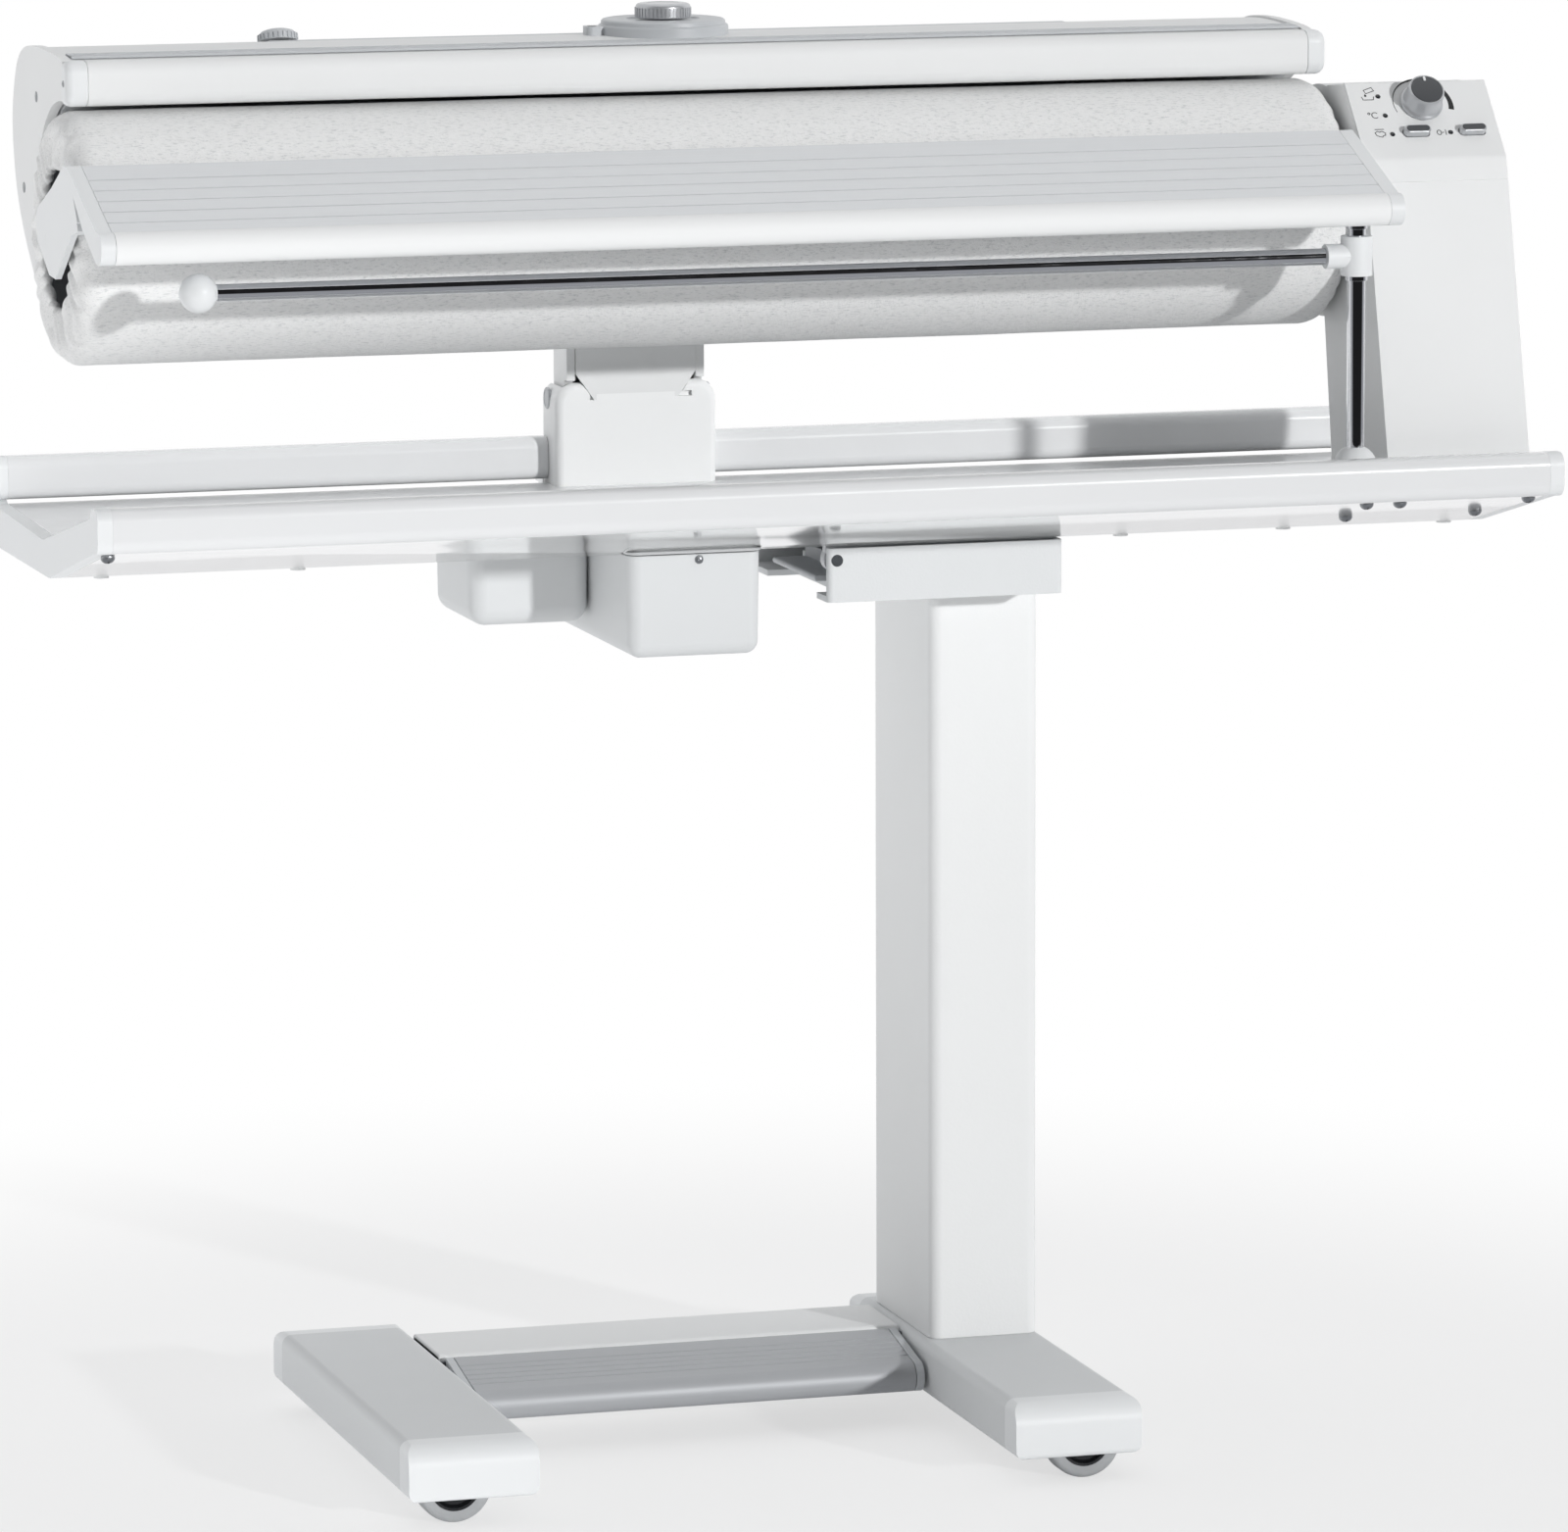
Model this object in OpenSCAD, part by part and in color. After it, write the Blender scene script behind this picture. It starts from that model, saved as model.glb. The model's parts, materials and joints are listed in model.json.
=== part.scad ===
// Rotary flatwork ironer on a wheeled column stand.
// X runs along the roller, -Y is the side that the user works from, +Z is up.
// The origin is on the floor, under the middle of the machine.

/* [Linen shelf beam] */
// Length of the shelf beam with its end caps
beam_l = 985; // [900:5:1100]
// Underside of the beam above the floor
beam_z = 609; // [560:1:650]
// Height of the round front rail's top above the beam's underside
rail_top = 62; // [56:1:72]
// Height of the front and rear rails
rail_h = 29; // [24:1:32]
// Depth of the front rail
front_rail_d = 22; // [20:1:26]
// Depth of the rear rail
rear_rail_d = 19; // [17:1:24]
// Front face of the beam, in front of the centre
beam_front = 190; // [180:1:200]
// Rear face of the beam, behind the centre
beam_rear = 155; // [150:1:165]
// Thickness of the shelf sheet
sheet_t = 4; // [3:0.5:5]
// Thickness of an end cap
cap_t = 10; // [6:1:16]
// Thickness of the sheet cover under the beam
cover_t = 2; // [1.5:0.5:3]

/* [Roller] */
// Height of the roller's axis above the floor
roller_z = 824; // [815:1:840]
// Outer radius of the padded roller
roller_r = 82.5; // [76:0.5:86]
// Length of the padded roller
roller_l = 864; // [780:2:864]
// Outer radius of the roller's tube
tube_r = 62; // [56:1:66]
// Wall of the roller's tube
tube_t = 3; // [2:0.5:5]
// Radius of the open end of the cloth
mouth_r = 45; // [40:1:50]
// Radius of the fixed axle that carries the roller
axle_r = 20; // [16:0.5:24]
// Running clearance of shafts and bushes
run_gap = 0.05; // [0.02:0.01:0.1]
// Clearance between moving faces
face_gap = 0.3; // [0.2:0.1:0.6]

/* [Heater] */
// Gap from the padding to the heated shoe while the heater is not pressed on
shoe_gap = 5; // [3:0.5:6]
// Thickness of the heated shoe
shoe_t = 6; // [4:0.5:7]
// Angle of the shoe's front edge, from the rear horizontal
shoe_front = 91; // [86:1:91]
// Angle of the shoe's lower rear edge, from the rear horizontal
shoe_rear = -34; // [-38:1:-10]
// Wall of the heater's cover
shell_t = 2; // [1.5:0.5:3]
// Radius of a tubular heating element
element_r = 4; // [3:0.5:4.5]
// Height of the heater arm's pivot above the beam's underside
pivot_h = 84; // [80:1:90]
// Radius of the heater arm's pivot shaft
pivot_r = 6; // [4:0.5:8]
// Width of the heater arm
arm_w = 96; // [80:1:104]
// Height of the finger guard
guard_h = 29.5; // [26:0.5:34]
// Depth of the finger guard
guard_d = 18; // [14:1:20]

/* [Drive tower] */
// Width of the drive tower
tower_w = 100; // [92:1:104]
// Gap between the roller's end and the tower
tower_gap = 3.5; // [2:0.5:8]
// Top of the tower above the floor
tower_z = 905; // [900:1:912]
// Wall of the tower's casing
casing_t = 3; // [2:0.5:4]
// Radius of the casing behind the roller
tower_round = 78; // [70:1:80]
// Number of teeth on the roller's gear
gear_teeth = 48; // [48:12:48]
// Number of teeth on the motor's pinion
pinion_teeth = 12; // [12:12:12]
// Size of a gear tooth
gear_module = 2; // [1.8:0.1:2.1]

/* [Controls] */
// Radius of the temperature knob's skirt
knob_r = 14; // [11:0.5:16]
// Height of the temperature knob
knob_h = 16; // [12:1:20]
// Length of a push button
button_l = 18.5; // [15:0.5:22]
// Width of a push button
button_w = 6.5; // [5:0.5:8]
// Travel of a push button
button_travel = 2; // [1:0.5:3]

/* [Feed board] */
// Radius of the feed board's round nose
nose_r = 10.5; // [8:0.5:11]
// Thickness of a feed board end
board_cap = 9.5; // [7:0.5:12]

/* [Hanging rail] */
// Radius of the upright post
post_r = 6; // [4.5:0.5:7]
// Radius of the swinging rail
bar_r = 5.5; // [4:0.5:6.5]
// Radius of the ball on the rail's free end
ball_r = 12.5; // [10:0.5:15]
// Length of the swinging rail from the post to the ball
rail_l = 778; // [700:2:786]
// Height of the swinging rail above the floor
rail_z = 801; // [780:1:804]

/* [Stand] */
// Length of a foot
foot_l = 380; // [360:1:384]
// Width of a foot
foot_w = 87; // [80:1:92]
// Height of a foot
foot_h = 37; // [35:1:40]
// Underside of a foot above the floor
foot_lift = 18; // [17:0.5:22]
// Wall of a steel tube
steel_t = 2.5; // [2:0.5:4]
// Width of the column
column_w = 76; // [70:1:84]
// Depth of the column
column_d = 134; // [120:1:140]
// Radius of a wheel
wheel_r = 25; // [23:0.5:26]
// Width of a wheel
wheel_w = 20; // [16:1:22]
// Radius of a wheel's axle
wheel_axle_r = 4; // [3:0.5:5]
// Radius of a fold pin
pin_r = 4; // [3:0.5:5]
// Depth of the head's side walls
head_h = 36; // [32:1:37]
// Wall of the column's head
head_t = 4; // [3:0.5:5]

/* [Hidden] */
$fn = 64;
eps = 0.01;

// Places along the beam
beam_x = beam_l / 2;
sheet_x = beam_x - cap_t;
front_y = -beam_front;
rail_back_y = front_y + front_rail_d;
rear_y = beam_rear;
rear_in_y = rear_y - rear_rail_d;
floor_y = -21;
floor_z = beam_z + 23;
floor_rise = 4;
front_lip_z = beam_z + rail_top - 7;
rail_low_z = beam_z + rail_top - rail_h;
corner_y = -39;
bracket_top_z = floor_z - sheet_t - face_gap;

left_box = [-194, -118];
left_front = 32;
left_back = 133;
left_low = beam_z - 54.5;
right_box = [-111, -20];
right_front = -60;
right_back = 130;
right_low = beam_z - 67;
box_t = 2.5;

gland_x = 425;
gland_z = beam_z + 12;
gland_r = 7;

screw_r = 2.5;

// Places of the roller
axis_y = 3;
tower_x = beam_x - 2.5 - tower_w;
roller_right = tower_x - tower_gap;
roller_left = roller_right - roller_l;
tube_left = roller_left + 8;
tube_right = roller_right - 8;
pad_round = 16;
web_t = 6;
web_inset = 18;
hub_r = axle_r + 8;
bush_t = 3;
left_web_x = tube_left + web_inset;
right_web_x = tube_right - web_inset - web_t;
boss_x = tower_x + 26;
boss_l = 24;
hub_hole_r = hub_r + 4;
gear_x = tower_x + 14;
gear_w = 8;
gear_r = gear_module * gear_teeth / 2;
pinion_r = gear_module * pinion_teeth / 2;
drive_angle = 233;
drive_dist = gear_r + pinion_r;
motor_y = axis_y + drive_dist * cos(drive_angle);
motor_z = roller_z + drive_dist * sin(drive_angle);
motor_r = 28;
frame_x = boss_x + 8;
frame_t = 6;
pilot_r = 24;

// Places of the heater, measured on the arm's and the roller's axes
arm_y = 140;
arm_z = beam_z + pivot_h;
arm_x = -56.5;
housing_w = 112;
housing_x = arm_x + 0.5 - housing_w / 2;
housing_front = 116;
housing_back = 172;
neck_back = 153;
neck_step = beam_z + 46;
housing_top = arm_z + 12;
shoe_r = roller_r + shoe_gap;
shoe_back = shoe_r + shoe_t;
cover_left = roller_left + 7;
cover_right = roller_right - 3.5;
cover_cap = 7;
cover_top = roller_z + 119.5;
tank_left = cover_left + 160.5;
tank_right = cover_right - 143;
guard_y = axis_y - 3 - 0.4;
guard_z = roller_z + roller_r + 3.5;
guard_left = cover_left - 1.5;
guard_right = roller_right;
filler_x = -47;
filler_y = 78;
filler_r = 43.5;
filler_cap_r = 19;
filler_cap_h = 10;
drain_x = cover_left + 171.5;
drain_h = 8;
drain_y = 123;
drain_r = 13.5;
drain_stem_r = 3;
drain_stem_l = 8;
neck_r = 13;

// Places of the feed board and of the hanging rail
board_left = roller_left - 5.5;
board_right = roller_right + 0.5;
board_back = -68;
board_z = roller_z + 53;
board_front = -160;
leg_t = 4;
axle_left = board_left + leg_t;
nose_z = roller_z + 8.5;
post_x = tower_x - 27;
post_y = -143;
post_top = nose_z - nose_r - 0.2;
post_slope = (front_lip_z - floor_z) / (floor_y - rail_back_y);
post_foot = floor_z + (floor_y - post_y) * post_slope;
tee_h = 26;
tee_r = 10.5;
base_r = 14.5;

// Places of the stand
foot_left_x = -253.5;
foot_right_x = 157.5;
foot_top = foot_lift + foot_h;
foot_end = foot_l / 2;
foot_round = 7;
cap_len = 25;
plug_len = 58;
wheel_y = foot_end - 24.5;
wheel_out = 9;
pocket_w = wheel_w + 3;
pocket_r = wheel_r + 1.5;
column_x = foot_right_x + 1.5;
column_y = 87;
column_round = 8;
head_top = beam_z - 3;
head_low = head_top - head_h;
head_left = 33.5;
head_right = column_x + column_w / 2;
head_front = -32;
head_back = column_y + column_d / 2 + 4;
pivot_x = 40;
pivot_z = head_top - 8;
lug_r = 8;
bracket_front = head_front + head_t + 1;
bracket_back = head_back - head_t - 1;
cross_front = 72;
cross_back = 145;
cross_left = foot_left_x + foot_w / 2;
cross_right = foot_right_x - foot_w / 2;
bar_left = cross_left + 3;
bar_right = cross_right - 3;
bar_hinge_y = cross_front - 4.4;
bar_hinge_z = foot_top - 5;
bar_eye_r = 4;
bar_pin_r = 2;
bar_nose_y = bar_hinge_y - 55;
bar_nose_z = foot_top - 22;
bar_nose_r = 10.5;
latch_x = head_left + 28;
latch_z = head_low + head_t + 8;
latch_y0 = head_front + 34;
latch_y1 = head_back - 56;
latch_r = 4;
latch_pin_r = 2;

// Screws that hold the cover under the beam
screw_left = -beam_x + 37.5;
screw_right = beam_x - 22.5;
screw_inner = head_right + 43;
cover_screws = [
    for (x = [screw_left, (screw_left + left_box[0]) / 2,
              screw_inner, (screw_inner + screw_right) / 2, screw_right])
        for (y = [-24, 130]) [x, y]
];

// Foot of the tower on the shelf, and its slanted face that carries the controls
tower_front = -133.5;
tower_back = -22;
panel_low = [-84, tower_z - 50];
panel_high = [-39, tower_z];
panel_len = norm(panel_high - panel_low);
panel_angle = atan2(panel_high[1] - panel_low[1], panel_high[0] - panel_low[0]);
panel_t = 3;
panel_margin = 4;
knob_at = [tower_x + 50, 47];
button_low = 23;
button_at = [tower_x + 41, tower_x + 80.5];

// Colours
white = "#f2f2f0";
pale = "#dfe1e3";
silver = "#b9bcbf";
steel = "#9a9da0";
chrome = "#c8ccd0";
felt = "#ecebe7";
dark = "#3a3c3f";
black = "#1c1d1f";
tyre_grey = "#8d8f92";
brass = "#c9a24a";
copper = "#b06a3c";
green = "#2f6b46";

// Rectangle with round corners, centred
module round_rect(w, h, r) {
    rr = min(r, w / 2 - eps, h / 2 - eps);
    union() {
        square([w - 2 * rr, h], center = true);
        square([w, h - 2 * rr], center = true);
        for (sx = [-1, 1], sy = [-1, 1])
            translate([sx * (w / 2 - rr), sy * (h / 2 - rr)]) circle(r = rr);
    }
}

// Bar along X between two places, from a drawing in Y and Z
module along_x(x0, x1) {
    translate([x0, 0, 0])
        rotate([90, 0, 90]) linear_extrude(height = x1 - x0) children();
}

// Bar along Y between two places, from a drawing in X and Z
module along_y(y0, y1) {
    translate([0, y1, 0])
        rotate([90, 0, 0]) linear_extrude(height = y1 - y0) children();
}

// Rod along X
module rod_x(x0, x1, y, z, r) {
    translate([x0, y, z]) rotate([0, 90, 0]) cylinder(r = r, h = x1 - x0);
}

// Rod along Y
module rod_y(y0, y1, x, z, r) {
    translate([x, y0, z]) rotate([-90, 0, 0]) cylinder(r = r, h = y1 - y0);
}

// Box from its lowest to its highest corner
module block(low, high) {
    translate(low) cube(high - low);
}

// Feet

// Outline of a foot seen from the front
module foot_section(inset = 0) {
    translate([0, foot_lift + foot_h / 2])
        round_rect(foot_w - 2 * inset, foot_h - 2 * inset, foot_round - inset / 2);
}

// Outline of a foot seen from the side, with large round ends on top
module foot_side() {
    nose = 15;
    union() {
        translate([-foot_end + nose, foot_lift])
            square([foot_l - 2 * nose, foot_h]);
        for (side = [-1, 1]) {
            translate([side * (foot_end - nose), foot_top - nose]) circle(r = nose);
            translate([side < 0 ? -foot_end + 4 : foot_end - nose, foot_lift])
                square([nose - 4, foot_h - nose]);
            translate([side * (foot_end - 4), foot_lift + 4]) circle(r = 4);
            translate([side < 0 ? -foot_end : foot_end - 4, foot_lift + 4])
                square([4, foot_h - nose - 4]);
        }
    }
}

// Room for one wheel, seen from below, open downwards
module wheel_pocket(x, side) {
    y = side * wheel_y;
    translate([x, 0, 0])
        block([-pocket_r, y - pocket_w / 2, 0], [pocket_r, y + pocket_w / 2, wheel_r]);
    rod_y(y - pocket_w / 2, y + pocket_w / 2, x, wheel_r, pocket_r);
}

// Steel tube of one foot, open under the wheels
module foot_tube(x, outward) {
    tube_end = foot_end - cap_len;
    difference() {
        translate([x, 0, 0]) along_y(-tube_end, tube_end) difference() {
            foot_section();
            foot_section(steel_t);
        }
        for (side = [-1, 1])
            wheel_pocket(x + outward * wheel_out, side);
        for (bolt = [-1, 1])
            translate([x, bolt * 38, 0]) cylinder(r = 4, h = foot_lift + steel_t + 1);
    }
}

// End cap with its plug and the wheel's fork
module foot_cap(x, side, wheel_x) {
    tube_end = foot_end - cap_len;
    plug_end = foot_end - plug_len;
    difference() {
        union() {
            translate([x, 0, 0]) intersection() {
                along_y(side < 0 ? -foot_end : tube_end, side < 0 ? -tube_end : foot_end)
                    foot_section();
                along_x(-foot_w / 2, foot_w / 2) foot_side();
            }
            translate([x, 0, 0])
                along_y(side < 0 ? -tube_end - eps : plug_end, side < 0 ? -plug_end : tube_end + eps)
                    foot_section(steel_t + face_gap);
        }
        wheel_pocket(wheel_x, side);
        rod_y(side * wheel_y - 19, side * wheel_y + 19, wheel_x, wheel_r, wheel_axle_r + run_gap);
    }
}

module foot_left() {
    color(white) foot_tube(foot_left_x, -1);
}

module foot_right() {
    color(white) foot_tube(foot_right_x, 1);
}

module foot_caps() {
    color(white) for (side = [-1, 1]) {
        foot_cap(foot_left_x, side, foot_left_x - wheel_out);
        foot_cap(foot_right_x, side, foot_right_x + wheel_out);
    }
}

module wheel_axles() {
    color(steel) for (side = [-1, 1])
        for (x = [foot_left_x - wheel_out, foot_right_x + wheel_out])
            rod_y(side * wheel_y - 18, side * wheel_y + 18, x, wheel_r, wheel_axle_r);
}

// Wheel with a round tread, a hub and its bore
module wheel(x, side) {
    tread = 3;
    translate([x, side * wheel_y, wheel_r]) rotate([90, 0, 0]) rotate_extrude($fn = 96)
        difference() {
            union() {
                translate([0, -wheel_w / 2]) square([wheel_r - tread, wheel_w]);
                translate([0, -wheel_w / 2 + tread])
                    square([wheel_r, wheel_w - 2 * tread]);
                for (s = [-1, 1])
                    translate([wheel_r - tread, s * (wheel_w / 2 - tread)])
                        circle(r = tread);
            }
            translate([-wheel_r, -wheel_w])
                square([wheel_r + wheel_axle_r + run_gap, 2 * wheel_w]);
            for (s = [-1, 1])
                translate([wheel_axle_r + 3, s * wheel_w / 2 - (s > 0 ? 2 : 0)])
                    square([wheel_r - tread - wheel_axle_r - 6, 2]);
        }
}

module wheel_front_left() {
    color(tyre_grey) wheel(foot_left_x - wheel_out, -1);
}

module wheel_rear_left() {
    color(tyre_grey) wheel(foot_left_x - wheel_out, 1);
}

module wheel_front_right() {
    color(tyre_grey) wheel(foot_right_x + wheel_out, -1);
}

module wheel_rear_right() {
    color(tyre_grey) wheel(foot_right_x + wheel_out, 1);
}

// Cross beam and foot bar

// Outline of the cross beam seen from the end
module cross_section(inset = 0) {
    translate([(cross_front + cross_back) / 2, foot_top - 17.5])
        round_rect(cross_back - cross_front - 2 * inset, 35 - 2 * inset, 4 - inset / 2);
}

module cross_beam() {
    color(white) along_x(cross_left, cross_right) difference() {
        cross_section();
        cross_section(steel_t);
    }
}

// Outline of the foot bar: hinge eye, ribbed face and round nose
module foot_bar_section() {
    hinge = [bar_hinge_y, bar_hinge_z];
    nose = [bar_nose_y, bar_nose_z];
    face_high = hinge + [-0.5, bar_eye_r - 0.1];
    face_low = nose + [-0.5, bar_nose_r - 0.1];
    difference() {
        union() {
            translate(hinge) circle(r = bar_eye_r);
            translate(nose) circle(r = bar_nose_r);
            polygon([
                face_high, face_low, nose + [1, -bar_nose_r + 0.1], nose + [bar_nose_r, -5],
                hinge + [1, -bar_eye_r + 0.1]
            ]);
        }
        translate(hinge) circle(r = bar_pin_r + run_gap);
        for (i = [1 : 5])
            translate(face_high + (face_low - face_high) * (0.12 + 0.14 * i))
                circle(r = 0.9, $fn = 16);
    }
}

module foot_bar() {
    color(silver) along_x(bar_left, bar_right) foot_bar_section();
}

// Column and head

module column() {
    color(white) translate([column_x, column_y, foot_top])
        linear_extrude(height = head_low - foot_top) difference() {
            round_rect(column_w, column_d, column_round);
            round_rect(column_w - 2 * steel_t, column_d - 2 * steel_t, column_round - steel_t);
        }
}

// Open tray on top of the column, with its mouth to the left
module column_head() {
    w = head_right - head_left;
    d = head_back - head_front;
    color(white) difference() {
        translate([(head_left + head_right) / 2, (head_front + head_back) / 2, head_low])
            linear_extrude(height = head_h) round_rect(w, d, 4);
        block([head_left - 1, head_front + head_t, head_low + head_t],
              [head_right - head_t, head_back - head_t, head_top + 1]);
        block([head_left - 1, head_front + 26, head_low - 1],
              [head_left + 22, head_back - 48, head_low + head_t + 1]);
        rod_y(head_front - 1, head_back + 1, pivot_x, pivot_z, pin_r + run_gap);
    }
    color(white) for (y = [latch_y0 - 5.3, latch_y1 + 0.3])
        difference() {
            block([latch_x - 4, y, head_low + head_t - eps], [latch_x + 4, y + 5, latch_z + 5]);
            rod_y(y - 1, y + 6, latch_x, latch_z, latch_pin_r + run_gap);
        }
}

// Pins of the beam's fold, of the latch and of the foot bar
module stand_pins() {
    color(steel) {
        rod_y(latch_y0 - 5, latch_y1 + 5, latch_x, latch_z, latch_pin_r);
        rod_x(cross_left, cross_right, bar_hinge_y, bar_hinge_z, bar_pin_r);
        rod_y(head_front + 0.6, bracket_front + 9, pivot_x, pivot_z, pin_r);
        rod_y(bracket_back - 9, head_back - 0.6, pivot_x, pivot_z, pin_r);
    }
}

// Hexagon-headed screw standing on its head, with its shank upwards
module screw_up(x, y, z, r, shank) {
    translate([x, y, z]) {
        cylinder(r = r * 1.9, h = r * 1.2, $fn = 6);
        translate([0, 0, r * 1.2 - eps]) cylinder(r = r, h = shank);
    }
}

module stand_screws() {
    color(steel) for (bolt = [-1, 1])
        for (x = [foot_left_x, foot_right_x])
            screw_up(x, bolt * 38, foot_lift - 4 * 1.2, 4 - run_gap, steel_t + 3);
}

// Latch lever in the mouth of the head
module fold_latch() {
    color(pale) difference() {
        along_y(latch_y0, latch_y1) union() {
            translate([latch_x, latch_z]) circle(r = latch_r);
            translate([head_left + 3, latch_z - 2]) square([latch_x - head_left - 3, 4]);
            translate([head_left + 3, latch_z]) circle(r = 2);
            translate([latch_x - 4, latch_z - 1]) square([4, 12]);
        }
        rod_y(latch_y0 - 1, latch_y1 + 1, latch_x, latch_z, latch_pin_r + run_gap);
    }
}

// Fold bracket

module fold_bracket() {
    lug_w = 8;
    low = head_top + 0.4;
    color(pale) difference() {
        union() {
            block([head_left + 0.5, bracket_front, low],
                  [head_right - head_t - 1, bracket_back, bracket_top_z]);
            for (y = [bracket_front, bracket_back - lug_w]) {
                rod_y(y, y + lug_w, pivot_x, pivot_z, lug_r);
                block([pivot_x - lug_r + 1.6, y, pivot_z], [pivot_x + lug_r, y + lug_w, low + 1]);
            }
        }
        block([head_left + 22, bracket_front + 12, low - 1],
              [head_right - head_t - 10, bracket_back - 12, bracket_top_z - 5]);
        rod_y(bracket_front - 1, bracket_front + 9.5, pivot_x, pivot_z, pin_r + run_gap);
        rod_y(bracket_back - 9.5, bracket_back + 1, pivot_x, pivot_z, pin_r + run_gap);
    }
}

// Shelf beam

// Outline of the front rail
module front_rail(inset = 0) {
    translate([front_y + front_rail_d / 2, rail_low_z + rail_h / 2])
        round_rect(front_rail_d - 2 * inset, rail_h - 2 * inset, 9 - inset / 2);
}

// Outline of the rear rail
module rear_rail(inset = 0) {
    translate([rear_y - rear_rail_d / 2, beam_z + rail_top - 4 - rail_h / 2])
        round_rect(rear_rail_d - 2 * inset, rail_h - 2 * inset, 8 - inset / 2);
}

// Outline of the folded shelf sheet between the rails
module shelf_sheet() {
    polygon([
        [rail_back_y - 2, front_lip_z - sheet_t], [floor_y, floor_z - sheet_t],
        [rear_in_y + 2, floor_z + floor_rise - sheet_t], [rear_in_y + 2, floor_z + floor_rise],
        [floor_y, floor_z], [rail_back_y - 2, front_lip_z]
    ]);
}

module shelf_beam() {
    color(white) difference() {
        along_x(-sheet_x, sheet_x) union() {
            difference() {
                front_rail();
                front_rail(sheet_t - 1);
            }
            difference() {
                rear_rail();
                rear_rail(sheet_t - 1);
            }
            shelf_sheet();
        }
        block([housing_x - 0.4, rear_in_y - 0.4, rail_low_z - 10],
              [housing_x + housing_w + 0.4, rear_y + 1, beam_z + rail_top + 2]);
        translate([post_x, post_y, floor_z - 10]) cylinder(r = post_r + run_gap, h = 60);
    }
}

// Outline of an end cap: both rails and the closed body below the shelf
module cap_outline() {
    union() {
        front_rail();
        rear_rail();
        polygon([
            [rail_back_y - 3, rail_low_z + 4], [front_y + 9, rail_low_z + 0.8], [corner_y, beam_z],
            [rear_y - 3, beam_z], [rear_y, beam_z + 3], [rear_y, floor_z + floor_rise + 6],
            [rear_in_y + 2, floor_z + floor_rise], [floor_y, floor_z], [rail_back_y - 3, front_lip_z]
        ]);
    }
}

module beam_cap_left() {
    color(white) along_x(-beam_x, -sheet_x) cap_outline();
}

module beam_cap_right() {
    color(white) along_x(sheet_x, beam_x) cap_outline();
}

// Folded cover under the beam, cut away round the bracket and the right housing
module bottom_cover() {
    lip_y = front_y + 12;
    color(white) difference() {
        along_x(-sheet_x, sheet_x) polygon([
            [lip_y, rail_low_z - 0.3], [corner_y, beam_z], [rear_y - 3, beam_z],
            [rear_y, beam_z + 3], [rear_y, floor_z + floor_rise - 2.3],
            [rear_y - cover_t, floor_z + floor_rise - 2.3], [rear_y - cover_t, beam_z + 3],
            [rear_y - 3 - 0.8, beam_z + cover_t], [corner_y, beam_z + cover_t],
            [lip_y + 9, rail_low_z - 0.3]
        ]);
        block([head_left - 3, bracket_front - 0.4, beam_z - 1],
              [head_right + 2, bracket_back + 0.4, floor_z + 8]);
        block([right_box[0] - 0.4, right_front - 0.4, beam_z - 1],
              [right_box[1] + 0.4, right_back + 0.4, floor_z + 8]);
        rod_y(rear_y - 9, rear_y + 1, gland_x, gland_z, gland_r + 0.05);
        for (at = cover_screws)
            translate([at[0], at[1], beam_z - 1]) cylinder(r = screw_r + run_gap, h = 4);
    }
}

module beam_screws() {
    color(chrome) for (at = cover_screws) {
        translate([at[0], at[1], beam_z - 3]) cylinder(r = 5, h = 3);
        translate([at[0], at[1], beam_z - eps]) cylinder(r = screw_r, h = 7);
    }
}

module cord_gland() {
    color(pale) difference() {
        union() {
            rod_y(rear_y - 8, rear_y + 0.3, gland_x, gland_z, gland_r);
            rod_y(rear_y + 0.3 - eps, rear_y + 16, gland_x, gland_z, gland_r + 2);
        }
        rod_y(rear_y - 9, rear_y + 17, gland_x, gland_z, 3.6);
    }
}

// Open-topped box with round corners
module open_box(x, y0, y1, low, high) {
    w = x[1] - x[0];
    d = y1 - y0;
    difference() {
        translate([(x[0] + x[1]) / 2, (y0 + y1) / 2, low])
            linear_extrude(height = high - low) round_rect(w, d, 9);
        translate([(x[0] + x[1]) / 2, (y0 + y1) / 2, low + box_t])
            linear_extrude(height = high - low)
                round_rect(w - 2 * box_t, d - 2 * box_t, 9 - box_t);
    }
}

module pressure_housing_left() {
    color(white) open_box(left_box, left_front, left_back, left_low, beam_z);
}

module pressure_housing_right() {
    lid_z = beam_z + 1.6;
    color(white) {
        open_box(right_box, right_front, right_back, right_low, lid_z + eps);
        difference() {
            translate([(right_box[0] + right_box[1]) / 2, (right_front + right_back) / 2, lid_z])
                linear_extrude(height = bracket_top_z - lid_z)
                    round_rect(right_box[1] - right_box[0], right_back - right_front, 9);
            translate([(right_box[0] + right_box[1]) / 2, (right_front + right_back) / 2, lid_z - 1])
                linear_extrude(height = bracket_top_z - lid_z - box_t + 1)
                    round_rect(right_box[1] - right_box[0] - 2 * box_t,
                               right_back - right_front - 2 * box_t, 9 - box_t);
        }
    }
}

module pressure_motor() {
    x = (right_box[0] + right_box[1]) / 2;
    z = right_low + box_t + 30;
    color(steel) union() {
        rod_y(right_front + 14, right_front + 90, x, z, 24);
        block([x - 28, right_front + 90 - eps, right_low + box_t],
              [x + 28, right_front + 150, right_low + box_t + 54]);
        rod_x(x - 34, x + 34, right_front + 122, z + 6, 5);
        block([x - 22, right_front + 20, right_low + box_t], [x + 22, right_front + 80, z - 14]);
    }
}

// Height of the shelf's top behind its fold
function shelf_height(y) = floor_z + floor_rise * (y - floor_y) / (rear_in_y + 2 - floor_y);

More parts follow.
